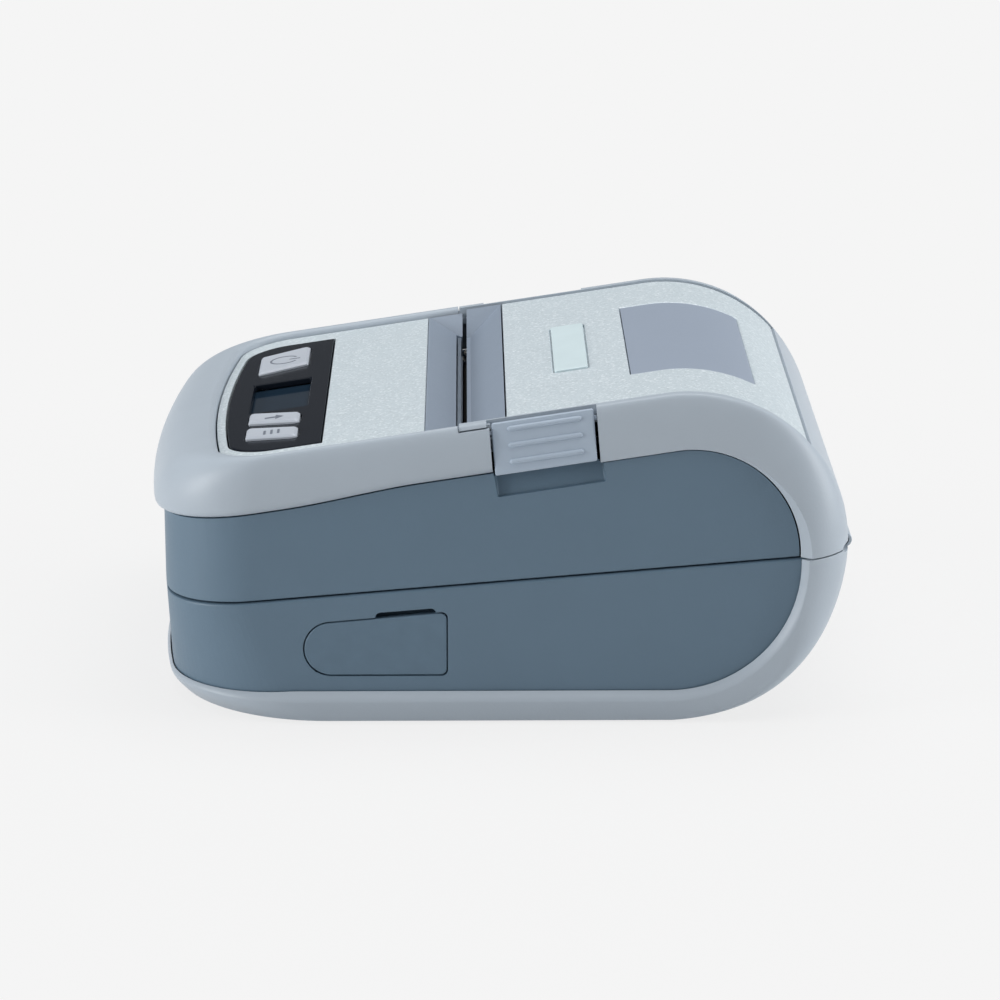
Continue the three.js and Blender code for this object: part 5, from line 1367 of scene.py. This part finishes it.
def crown_profile(depth, start, end_angle, count=72):
    first = (start, deck_height(start) - depth / cos(DECK_TILT))
    return [first] + arc(CROWN_X, SEAM_REAR, CROWN_RADIUS - depth, QUARTER + DECK_TILT, end_angle, count)


def crown_across(top, low, start, end_angle, half):
    outline = crown_profile(top, start, end_angle) + crown_profile(low, start, end_angle)[::-1]
    return across(outline, -half, half)


def lid_ring(angle, point, inner):
    """The lid's section at one place of its arch: a rounded shoulder over a chamfered low edge."""
    normal = (cos(angle), sin(angle))
    depth = CROWN_RADIUS - UPPER_ROUND[2] - UPPER_SHIFT[0] * normal[0] - UPPER_SHIFT[1] * normal[1]
    share = 1 - smooth(angle, 0, radians(70))
    low = blend(LID_LOW_HALF, HALF, share)
    top = blend(PLANS["crest"][0], HALF - REAR_CORNER, share)
    chamfer = blend(LEAST_CHAMFER, sizes().lid_chamfer / MM, share)
    thick = LID_THICK if inner else 0
    reach = depth + OVERRUN - LID_THICK if inner else depth
    begin = 0 if inner else chamfer / depth
    side = [] if inner else [(low - chamfer * 1.05, depth)]
    for turn in spaced(0 if inner else atan2(begin, sqrt(1 - begin**2)), QUARTER, 18):
        y = top + (low - top) * cos(turn) - (WALL if inner else 0)
        side.append((y, thick + reach * (1 - sin(turn))))
    if inner:
        side.insert(0, side[0])
    ring = [(point[0] - down * normal[0], y, point[1] - down * normal[1]) for y, down in side]
    return ring + [(x, -y, z) for x, y, z in reversed(ring)]


def lid_body(inner):
    deck_angle = QUARTER + DECK_TILT
    start = 2 * LIP_FRONT - OVERRUN
    rings = [lid_ring(deck_angle, (start, deck_height(start)), inner)]
    for angle in spaced(deck_angle, 0, 64):
        point = (CROWN_X + CROWN_RADIUS * cos(angle), SEAM_REAR + CROWN_RADIUS * sin(angle))
        rings.append(lid_ring(angle, point, inner))
    rings.append(lid_ring(0, (REAR, SEAM_REAR - OVERRUN), inner))
    return skin(rings)


def latch_rod(radius, spare):
    """The pin a latch turns on, or with some to spare the hole for it."""
    rings = []
    for s in (LATCH["s0"] - 0.85 - spare, LATCH["s1"] + 2 + spare):
        ring = []
        for a in full_turn(24):
            ring.append(on_deck((s, LATCH_PIN_Y + radius * cos(a), LATCH["pivot_n"] + radius * sin(a))))
        rings.append(ring)
    return skin(rings)


def build_lid_frame():
    shell = keep(cut(lid_body(False), lid_body(True)), above_seam())
    pocket = crown_across(-OVERRUN, LID_POCKET, -FAR / 2, PANEL_END, PANEL_HALF)
    opening = crown_across(-OVERRUN, 2 * OVERRUN, OPEN_START, OPEN_END, LEDGE_HALF)
    front_opening = box(-FAR, SLOPE_END, -CHEEK_HALF, CHEEK_HALF, 0, FAR)
    band_s = LATCH["s1"] + REAR_SLIT
    ahead = box(-FAR, LIP_FRONT, -WIDTH, WIDTH, 0, FAR)
    cover_s = along_deck(BAND["end"]) + GAP
    rooms = []
    for limits in (
        (-FAR, band_s, LIP_EDGE, WIDTH, -FAR, -LIP_DEPTH),
        (cover_s, band_s, LIP_EDGE, WIDTH, -FAR, FAR),
        (-FAR, cover_s, PLANS["groove"][0] - GAP, WIDTH, -FAR, -LIP_DEPTH),
        (-FAR, band_s, LEDGE_HALF, WIDTH, -FAR, -LID_THICK),
    ):
        rooms += pair(box(*limits, leaning if limits[1] == band_s else on_deck))
    ear_s = LATCH["s0"] - GAP
    ears = pair(box(cover_s, ear_s, PANEL_HALF - GAP, EAR_HALF, -LID_THICK, -LIP_DEPTH + GAP, on_deck))
    fixed = []
    for start, end in (KNUCKLE_INNER, KNUCKLE_OUTER):
        fixed += pair(hinge_rod(KNUCKLE_RADIUS + GAP, start - GAP, end + GAP))
    shell = cut(shell, pocket, opening, front_opening, ahead, *rooms, *fixed)
    shell = join(shell, *pair(knuckle(KNUCKLE_LID)), *ears)
    bore = hinge_rod(PIN_RADIUS + GAP, -WIDTH, WIDTH)
    piece(cut(shell, *pair(latch_rod(LATCH_PIN + GAP, GAP)), bore), "lid_frame")


def strip_slab(s0, s1, half, low, high, edge, corner=0.0):
    """A curved plate on the deck and crown with rounded edges and, at its rear, rounded plan corners."""
    near = spaced(0, edge, 3)
    stations = [s0 + d for d in near[:-1]] + strip_stations(s0 + edge, s1 - max(edge, corner))
    stations += [s1 - max(edge, corner) * (1 - sin(a)) for a in spaced(0, QUARTER, 8)[1:]]

    def section(s):
        room = min(s - s0, s1 - s)
        drop = edge - sqrt(max(0, edge**2 - (edge - min(edge, room)) ** 2))
        wide = half
        if corner and s1 - s < corner:
            wide = half - corner + sqrt(max(0, corner**2 - (corner - (s1 - s)) ** 2))
        wide -= drop * 0.6
        top = high - drop
        bottom = min(low + drop * 0.5, top - 0.05)
        curve = [(wide - edge * (1 - cos(a)), top - edge * (1 - sin(a))) for a in spaced(0, QUARTER, 4)]
        return [(wide, bottom)] + curve + [(-y, n) for y, n in reversed(curve)] + [(-wide, bottom)]

    return crown_strip(stations, section)


def crown_opening(s0, s1, half, grow, corner):
    """Plan outline of an opening on the crown with rounded rear corners."""
    s0, s1, half, corner = s0 - grow, s1 + grow, half + grow, corner + grow
    rear = arc(s1 - corner, half - corner, corner, 0, QUARTER, 10)
    side = [(s, half) for s in strip_stations(s0, s1 - corner)][::-1][1:]
    far_side = rear + side
    return far_side + [(s, -y) for s, y in reversed(far_side)]


def lid_window_opening():
    s0, s1 = along_deck(WINDOW_START), crown_s(WINDOW_END)
    levels = [(-OVERRUN, 0), (-LID_SINK - 0.55, 0), (-LID_SINK - 0.2, 0.12)]
    levels += [(-LID_SINK, 0.45), (OVERRUN, 0.5)]
    rings = []
    for n, grow in levels:
        outline = crown_opening(s0, s1, WINDOW_HALF, grow, WINDOW_CORNER)
        rings.append([on_crown(s, y, n) for s, y in outline])
    return skin(rings)


def lid_window_pane():
    s0, s1 = along_deck(WINDOW_START) + 0.1, crown_s(WINDOW_END) - 0.1
    low, high = -LID_SINK - 1.3, -LID_SINK - 0.12
    return strip_slab(s0, s1, WINDOW_HALF - 0.1, low, high, 0.12, WINDOW_CORNER - 0.1)


def build_lid_panel():
    start, end = along_deck(SLOPE_END) - 0.1, crown_s(PANEL_END) - GAP
    sheet = strip_slab(start, end, PANEL_HALF - GAP, -LID_SINK - PANEL_THICK, -LID_SINK, 0.25)
    rear = along_deck(LABEL_REAR)
    front = rear - along_deck(LABEL_LENGTH)
    half = sizes().label_half / MM
    seat = rounded(rectangle(front - GAP, rear + GAP, -half - GAP, half + GAP), 0.9)
    pocket = deck_cutter(seat, 0.15, low=-LID_SINK - 0.6, face=-LID_SINK)
    piece(cut(sheet, lid_window_opening(), pocket), "lid_panel")
    plate = rounded(rectangle(front, rear, -half, half), 0.7, 6)
    piece(slab(plate, -LID_SINK - 0.3, 0, 0.2, on_deck, both=False), "label_plate")
    piece(lid_window_pane(), "lid_window")


def latch_body():
    """A latch's plate, with ends that lean and are softly rounded."""
    top, bottom = LATCH["top"], LATCH["bottom"]
    points = [(LATCH_FACE, top), (HALF - 1.2, bottom), (HALF - 3.3, bottom)]
    points += [(HALF - 4.5, -3.8), (HALF - 4.5, -1.8), (HALF - 3.9, top)]
    outline = rounded(points, 0.4, 5)
    places = [(LATCH["s0"] + away, inset) for away, inset in LATCH_ENDS]
    places += [(LATCH["s1"] - away, inset) for away, inset in reversed(LATCH_ENDS)]
    return skin([[leaning((s, y, n)) for y, n in offset(outline, -inset)] for s, inset in places])


def latch_rib(index):
    """A grip rib whose ends taper into the latch."""
    half, taper = sizes().rib_length / MM / 2, RIBS["taper"]
    n = RIBS["top"] - RIBS["step"] * index
    y = LATCH_FACE + RIBS["slope"] * (LATCH["top"] - n) - 0.1
    middle = RIBS["middle"] + n * LATCH["lean"]
    places = [middle - half + taper * (1 - cos(a)) for a in spaced(0.15, QUARTER, 6)]
    places += [middle + half - taper * (1 - cos(a)) for a in spaced(QUARTER, 0.15, 6)]
    rings = []
    for s in places:
        near = min(1, (half - abs(s - middle)) / taper)
        size = sqrt(max(0.02, 1 - (1 - near) ** 2))
        wide, tall = RIBS["deep"] * size, RIBS["half"] * size
        rings.append([on_deck((s, y + wide * cos(a), n + tall * sin(a))) for a in full_turn(18)])
    return skin(rings)


def build_latches():
    low = LATCH["bottom"]
    nib = box(NIB["s0"], NIB["s1"], NIB["inner"], LATCH_FACE, low, low + NIB["height"], on_deck)
    body = join(latch_body(), latch_rod(LATCH_PIN, 0), nib, *(latch_rib(i) for i in range(3)))
    for obj, node in zip(pair(body), ("latch_far", "latch_near")):
        piece(obj, node, "light_grey_plastic").data.materials[0] = finish("latch_plastic")


# Ports, battery, feet and screws


PLUG = {"root": 1, "reach": 2.2, "jack_radius": 2.8, "usb_half": 2, "usb_rise": 1}


def facing_side(point):
    """Turns a plate's own Z to the near side."""
    x, y, z = point
    return x, -z, y


def port_cover():
    """The flap with a plug for each of the two sockets."""
    face = -PLANS["lower_seam"][0]
    plate = side_plate(flap_outline(0), face, FLAP["thick"], 0.3)
    root, end = face + PLUG["root"], face + FLAP["thick"] + PLUG["reach"]
    jack_plug = rod(PLUG["jack_radius"], root, end, "Y", (JACK[0], 0, JACK[1]), 0.3)
    x0, x1 = USB_X - PLUG["usb_half"], USB_X + PLUG["usb_half"]
    z0, z1 = USB_Z - PLUG["usb_rise"], USB_Z + PLUG["usb_rise"]
    usb_plug = block(x0, x1, z0, z1, -end, -root, 0.1, 0.2, facing_side)
    return join(plate, jack_plug, usb_plug)


def build_ports():
    piece(port_cover(), "port_cover")
    for node, width in (("port_board", 0.1), ("dc_jack", 0.2), ("usb_socket", 0.12)):
        piece(from_cad(node, width), node)


def build_battery():
    outline = rounded(rectangle(BATTERY["x0"], BATTERY["x1"], BATTERY["y0"], BATTERY["y1"]), 2, 6)
    bottom = FLOOR_TOP + GAP
    piece(slab(outline, bottom, bottom + BATTERY["height"], 0.8), "battery_pack")
    x0, y0, y1 = (DOOR[name] for name in ("x0", "y0", "y1"))
    plan = rounded(rectangle(x0, DOOR_HINGE[0], y0, y1), 1, 5)
    panel = slab(plan, CASE_BOTTOM, CASE_BOTTOM + DOOR_THICK, 0.25)
    barrel = rod(DOOR_PIN["barrel"], y0, y1, "Y", DOOR_HINGE, 0.1)
    stub = rod(DOOR_PIN["stub"], y0 - DOOR_PIN["reach"], y1 + DOOR_PIN["reach"], "Y", DOOR_HINGE, 0.1)
    middle = (y0 + y1) / 2
    y0, y1 = middle - GRIPS["half"], middle + GRIPS["half"]
    grips = []
    for i in range(GRIPS["count"]):
        x = x0 + GRIPS["inset"] + GRIPS["step"] * i
        groove = rounded(rectangle(x, x + GRIPS["width"], y0, y1), 0.2, 3)
        grips.append(slab(groove, 0, CASE_BOTTOM + GRIPS["depth"], 0.02))
    piece(cut(join(panel, barrel, stub), *grips), "battery_door")


def cross_arm(x, y, turn):
    """Plan outline of one arm of the cross in a screw's head."""
    outline = []
    for a, b in rectangle(-SCREW["shank"], SCREW["shank"], -SCREW["slot"], SCREW["slot"]):
        outline.append((x + a * cos(turn) - b * sin(turn), y + a * sin(turn) + b * cos(turn)))
    return outline


def case_screw(x, y):
    low, top, tip = SCREW_BOTTOM, SCREW_BOTTOM + SCREW["head_height"], seam_height(x) + SCREW_RISE
    head, shank = SCREW["head"], SCREW["shank"]
    profile = [(head - 0.5, low), (head - 0.15, low + 0.12), (head, low + 0.45), (head, top - 0.1)]
    profile += [(head - 0.1, top), (shank, top), (shank, tip - SCREW["tip_height"]), (SCREW["tip"], tip)]
    body = turned(profile, "Z", (x, y, 0), 40)
    for turn in (0, QUARTER):
        body = cut(body, upright(cross_arm(x, y, turn), 0, low + SCREW["slot_depth"]))
    return body


def hinge_pin(way):
    """The pin of the far or the near hinge eyes."""
    far_pin = hinge_rod(PIN_RADIUS, KNUCKLE_INNER[0], KNUCKLE_OUTER[1], 0.15)
    if way > 0:
        return far_pin
    near_pin = mirrored(far_pin)
    bpy.data.objects.remove(far_pin)
    return near_pin


def build_feet_and_screws():
    for side, way in (("near", -1), ("far", 1)):
        for end, (x, y) in FOOT_PLACES.items():
            piece(turned(FOOT_PROFILE, "Z", (x, way * y, 0), 64), f"foot_{end}_{side}")
        for end, (x, y) in SCREW_PLACES.items():
            piece(case_screw(x, way * y), f"case_screw_{end}_{side}")
        piece(hinge_pin(way), f"hinge_pin_{side}")


# Print mechanism, boards and paper bay

PLATEN_RADIUS = 5.5
PLATEN_BORE = 1.8
BUSH = {"radius": 3.2, "inner": PAPER_HALF + 1, "outer": PAPER_HALF + 4.1}
SHAFT_END = PAPER_HALF + 4.4
PLATEN = (SLIT_REAR - 0.7 + PLATEN_RADIUS, 0.0, DECK_AT_0 - 14.045)
GEAR_END = PAPER_HALF + 7.2


def tube(inner, outer, y0, y1, place, edge=0.15, count=64):
    """A round sleeve along Y with rounded outer edges."""
    x, z = place[0], place[2]
    soft = edge * 0.3
    profile = [(inner, y0), (outer - edge, y0), (outer - soft, y0 + soft), (outer, y0 + edge)]
    profile += [(outer, y1 - edge), (outer - soft, y1 - soft), (outer - edge, y1), (inner, y1)]
    rings = []
    for radius, y in profile:
        rings.append([(x + radius * cos(a), y, z + radius * sin(a)) for a in full_turn(count)])
    return skin(rings, closed=True)


def build_platen():
    reach = PAPER_HALF + 0.6
    piece(tube(PLATEN_BORE, PLATEN_RADIUS, -reach, reach, PLATEN, 0.3, 96), "platen_roller")
    piece(rod(PLATEN_BORE - GAP, -SHAFT_END, GEAR_END + GAP, "Y", PLATEN, 0.3), "platen_shaft")
    bush = tube(PLATEN_BORE, BUSH["radius"], BUSH["inner"], BUSH["outer"], PLATEN, 0.2)
    for obj, node in zip(pair(bush), ("platen_bush_far", "platen_bush_near")):
        piece(obj, node)
    piece(from_cad("platen_carrier", 0.2), "platen_carrier")
    piece(from_cad("platen_gear", 0.05, 25), "platen_gear", crease=20)


def lying(node, axis):
    """Middle, radius along an axis and both ends of a node that lies across the printer."""
    low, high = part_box(node)
    place = ((low.x + high.x) / 2 / MM, 0, (low.z + high.z) / 2 / MM)
    return place, (high[axis] - low[axis]) / 2 / MM, low.y / MM, high.y / MM


def build_mechanism():
    for node, width in (
        ("mechanism_frame", 0.15), ("print_head", 0.12), ("head_sink", 0.2), ("head_spring", 0.05),
        ("upper_gear", 0.05), ("lower_gear", 0.05), ("motor_pinion", 0.05),
    ):
        piece(from_cad(node, width, 25), node, crease=25)
    place, radius, y0, y1 = lying("head_shaft", 0)
    piece(rod(radius, y0, y1, "Y", place), "head_shaft")
    place, radius, y0, y1 = lying("stepper_motor", 2)
    waist = radius - 0.35
    profile = [(2, y0), (radius - 0.9, y0), (radius, y0 + 0.8), (radius, y0 + 1.6), (waist, y0 + 1.9)]
    profile += [(waist, y1 - 1.9), (radius, y1 - 1.6), (radius, y1 - 0.3), (radius - 0.3, y1), (2, y1)]
    piece(turned(profile, "Y", place, 72), "stepper_motor")


BAY = {"x": CROWN_X - 1.5, "z": SEAM_REAR - 0.3, "radius": CROWN_RADIUS - 4.7, "wall": 1.2, "floor": 5}


def build_paper_bay():
    x, z, radius, wall = (BAY[name] for name in ("x", "z", "radius", "wall"))
    half = PAPER_HALF + wall
    start, end = radians(163), 2 * pi
    strip = arc(x, z, radius + wall, start, end, 72) + arc(x, z, radius, end, start, 72)
    sink = atan2(BAY["floor"], sqrt((radius + wall) ** 2 - BAY["floor"] ** 2))
    side = arc(x, z, radius + wall, pi + sink, 2 * pi - sink, 60)
    low, high = FLOOR_TOP + GAP, z - radius - GAP
    ribs = pair(box(x - radius / 2, x + radius / 2, HALF - 29, HALF - 27, low, high))
    tub = join(across(strip, -half, half), *pair(across(side, half - GAP, half + wall - GAP)), *ribs)
    hollow = rod(radius, -half + GAP, half - GAP, "Y", (x, 0, z), 0, 144)
    piece(keep(cut(tub, hollow), lower_case_form(-WALL - GAP)), "paper_bay")
    piece(from_cad("main_board", 0.12), "main_board")


# Studio

BACKDROP = (0.913, 0.913, 0.913, 1)
FLOOR_TONE = (0.80, 0.80, 0.80)
FLOOR_HALF = 3.0
GLOW_SHARES = (0.86, 1)
GLOW_REACH = (0.09, 0.22)
SKY_TONE = (0.94, 0.965, 1.0, 1)
SKY_STRENGTH = 0.21
AIM = (0, 0, 0.03)
LAMPS = {
    "key_light": ((0.1, 0.1, 1.02), (1.2, 0.9), 9.2),
    "left_light": ((-0.93, -0.3, 0.25), (0.4, 0.4), 5.6),
    "right_light": ((0.95, -0.1, 0.28), (0.5, 0.5), 5.0),
}
CAMERA_PLACE = (-6.4, -754.25, 253.76)
CAMERA_AIM = (0.0092, 0.9588, -0.2840)
CAMERA_LENS = 136.0
CAMERA_SENSOR = 36.0


def pale_floor():
    """Pale paper: lit and shadowed near the printer, plain background farther out."""
    shader = Shader("studio_paper")
    grain = shader.noise(0.8, 4)
    shader.colour(shader.tint(FLOOR_TONE, grain, 0.985, 1.0))
    shader.roughness(grain, 0.85, 0.95)
    shader.relief(grain, 0.02)
    length = shader.add("ShaderNodeVectorMath", operation="LENGTH")
    shader.links.new(shader.place, length.inputs[0])
    reach = shader.spread(length.outputs["Value"], *GLOW_SHARES, *GLOW_REACH)
    glow = shader.add("ShaderNodeEmission")
    glow.inputs["Color"].default_value = BACKDROP
    mix = shader.add("ShaderNodeMixShader")
    path = shader.add("ShaderNodeLightPath")
    seen = shader.add("ShaderNodeMath", operation="ADD", use_clamp=True)
    shader.links.new(path.outputs["Is Camera Ray"], seen.inputs[0])
    shader.links.new(path.outputs["Is Glossy Ray"], seen.inputs[1])
    share = shader.add("ShaderNodeMath", operation="MULTIPLY")
    shader.links.new(reach, share.inputs[0])
    shader.links.new(seen.outputs[0], share.inputs[1])
    shader.links.new(share.outputs[0], mix.inputs["Fac"])
    shader.links.new(shader.surface.outputs["BSDF"], mix.inputs[1])
    shader.links.new(glow.outputs["Emission"], mix.inputs[2])
    shader.links.new(mix.outputs["Shader"], shader.nodes["Material Output"].inputs["Surface"])
    return shader.material


def pale_world():
    world = bpy.data.worlds.new("studio_world")
    world.use_nodes = True
    nodes, links = world.node_tree.nodes, world.node_tree.links
    light = nodes["Background"]
    light.inputs["Color"].default_value = SKY_TONE
    light.inputs["Strength"].default_value = SKY_STRENGTH
    plain = nodes.new("ShaderNodeBackground")
    plain.inputs["Color"].default_value = BACKDROP
    path = nodes.new("ShaderNodeLightPath")
    seen = nodes.new("ShaderNodeMath")
    seen.operation = "ADD"
    seen.use_clamp = True
    links.new(path.outputs["Is Camera Ray"], seen.inputs[0])
    links.new(path.outputs["Is Transmission Ray"], seen.inputs[1])
    mix = nodes.new("ShaderNodeMixShader")
    links.new(seen.outputs[0], mix.inputs["Fac"])
    links.new(light.outputs["Background"], mix.inputs[1])
    links.new(plain.outputs["Background"], mix.inputs[2])
    links.new(mix.outputs["Shader"], nodes["World Output"].inputs["Surface"])
    return world


def soft_light(name, place, size, power):
    lamp = bpy.data.lights.new(name, "AREA")
    lamp.shape = "RECTANGLE"
    lamp.size, lamp.size_y = size
    lamp.energy = power
    obj = bpy.data.objects.new(name, lamp)
    obj.location = place
    obj.rotation_euler = (Vector(AIM) - Vector(place)).to_track_quat("-Z", "Y").to_euler()
    bpy.context.scene.collection.objects.link(obj)


def build_studio():
    mesh = bpy.data.meshes.new("studio_floor")
    corners = rectangle(-FLOOR_HALF, FLOOR_HALF, -FLOOR_HALF, FLOOR_HALF)
    mesh.from_pydata(at_height(corners, 0), [], [(0, 1, 2, 3)])
    mesh.materials.append(pale_floor())
    floor = bpy.data.objects.new("studio_floor", mesh)
    scene = bpy.context.scene
    scene.collection.objects.link(floor)
    scene.world = pale_world()
    for name, (place, size, power) in LAMPS.items():
        soft_light(name, place, size, power)
    data = bpy.data.cameras.new("studio_camera")
    data.lens = CAMERA_LENS
    data.sensor_width = CAMERA_SENSOR
    camera = bpy.data.objects.new("studio_camera", data)
    camera.location = Vector(CAMERA_PLACE) * MM
    camera.rotation_euler = Vector(CAMERA_AIM).to_track_quat("-Z", "Y").to_euler()
    scene.collection.objects.link(camera)
    scene.camera = camera
    scene.view_settings.view_transform = "Standard"


# Operators and panel


class LowerCase(bpy.types.Operator):
    """Builds the slate lower case"""

    bl_idname = "printer.lower_case"
    bl_label = "Lower case"

    def execute(self, context):
        build_lower_case()
        return {"FINISHED"}


class BaseBumper(bpy.types.Operator):
    """Builds the light jacket round the foot"""

    bl_idname = "printer.base_bumper"
    bl_label = "Base bumper"

    def execute(self, context):
        build_bumper()
        return {"FINISHED"}


class UpperCase(bpy.types.Operator):
    """Builds the slate upper case with its finger recesses"""

    bl_idname = "printer.upper_case"
    bl_label = "Upper case"

    def execute(self, context):
        build_upper_case()
        return {"FINISHED"}


class FrontCover(bpy.types.Operator):
    """Builds the domed front cover with its side bands"""

    bl_idname = "printer.front_cover"
    bl_label = "Front cover"

    def execute(self, context):
        build_front_cover()
        return {"FINISHED"}


class FrontPanel(bpy.types.Operator):
    """Builds the silver panel round the bezel"""

    bl_idname = "printer.front_panel"
    bl_label = "Front panel"

    def execute(self, context):
        build_front_panel()
        return {"FINISHED"}


class DisplayBezel(bpy.types.Operator):
    """Builds the bezel, the display and the boards under them"""

    bl_idname = "printer.display_bezel"
    bl_label = "Bezel and display"

    def execute(self, context):
        build_bezel()
        return {"FINISHED"}


class ControlKeys(bpy.types.Operator):
    """Builds the three keys and their signs"""

    bl_idname = "printer.control_keys"
    bl_label = "Keys"

    def execute(self, context):
        build_keys()
        return {"FINISHED"}


class PaperExit(bpy.types.Operator):
    """Builds both slopes of the paper exit and the tear bar"""

    bl_idname = "printer.paper_exit"
    bl_label = "Paper exit"

    def execute(self, context):
        build_paper_exit()
        return {"FINISHED"}


class LidFrame(bpy.types.Operator):
    """Builds the lid's light frame"""

    bl_idname = "printer.lid_frame"
    bl_label = "Lid frame"

    def execute(self, context):
        build_lid_frame()
        return {"FINISHED"}


class LidPanel(bpy.types.Operator):
    """Builds the lid's silver panel, its window and the blank plate"""

    bl_idname = "printer.lid_panel"
    bl_label = "Lid panel and window"

    def execute(self, context):
        build_lid_panel()
        return {"FINISHED"}


class SideLatches(bpy.types.Operator):
    """Builds the two ribbed latches"""

    bl_idname = "printer.side_latches"
    bl_label = "Latches"

    def execute(self, context):
        build_latches()
        return {"FINISHED"}


class SidePorts(bpy.types.Operator):
    """Builds the port cover and the sockets behind it"""

    bl_idname = "printer.side_ports"
    bl_label = "Ports"

    def execute(self, context):
        build_ports()
        return {"FINISHED"}


class Battery(bpy.types.Operator):
    """Builds the battery pack and its door"""

    bl_idname = "printer.battery"
    bl_label = "Battery"

    def execute(self, context):
        build_battery()
        return {"FINISHED"}


class FeetAndScrews(bpy.types.Operator):
    """Builds the feet, case screws and hinge pins"""

    bl_idname = "printer.feet_and_screws"
    bl_label = "Feet, screws and pins"

    def execute(self, context):
        build_feet_and_screws()
        return {"FINISHED"}


class Platen(bpy.types.Operator):
    """Builds the platen roller, its bushes, gear and carrier"""

    bl_idname = "printer.platen"
    bl_label = "Platen"

    def execute(self, context):
        build_platen()
        return {"FINISHED"}


class Mechanism(bpy.types.Operator):
    """Builds the print mechanism in the base"""

    bl_idname = "printer.mechanism"
    bl_label = "Mechanism"

    def execute(self, context):
        build_mechanism()
        return {"FINISHED"}


class PaperBay(bpy.types.Operator):
    """Builds the tub for the roll and the main board"""

    bl_idname = "printer.paper_bay"
    bl_label = "Paper bay and board"

    def execute(self, context):
        build_paper_bay()
        return {"FINISHED"}


class Studio(bpy.types.Operator):
    """Builds the floor, lights and camera"""

    bl_idname = "printer.studio"
    bl_label = "Studio"

    def execute(self, context):
        build_studio()
        return {"FINISHED"}


STEPS = (
    LowerCase, BaseBumper, UpperCase, FrontCover, FrontPanel, DisplayBezel, ControlKeys, PaperExit,
    LidFrame, LidPanel, SideLatches, SidePorts, Battery, FeetAndScrews, Platen, Mechanism, PaperBay,
    Studio,
)


class PrinterPanel(bpy.types.Panel):
    """Lists the printer's sizes, colours and pieces"""

    bl_idname = "VIEW3D_PT_portable_printer"
    bl_label = "Portable receipt printer"
    bl_space_type = "VIEW_3D"
    bl_region_type = "UI"
    bl_category = "Printer"

    def draw(self, context):
        for group in (context.scene.printer_sizes, context.scene.printer_colours):
            column = self.layout.column(align=True)
            for name in group.bl_rna.properties.keys():
                if name not in ("rna_type", "name"):
                    column.prop(group, name)
        for step in STEPS:
            self.layout.operator(step.bl_idname)


def register():
    for kind in (PrinterSizes, PrinterColours, *STEPS, PrinterPanel):
        bpy.utils.register_class(kind)
    bpy.types.Scene.printer_sizes = PointerProperty(type=PrinterSizes)
    bpy.types.Scene.printer_colours = PointerProperty(type=PrinterColours)


def unregister():
    del bpy.types.Scene.printer_colours
    del bpy.types.Scene.printer_sizes
    for kind in (PrinterPanel, *reversed(STEPS), PrinterColours, PrinterSizes):
        bpy.utils.unregister_class(kind)


def main():
    register()
    for step in STEPS:
        group, name = step.bl_idname.split(".")
        getattr(getattr(bpy.ops, group), name)()


if __name__ == "__main__":
    main()
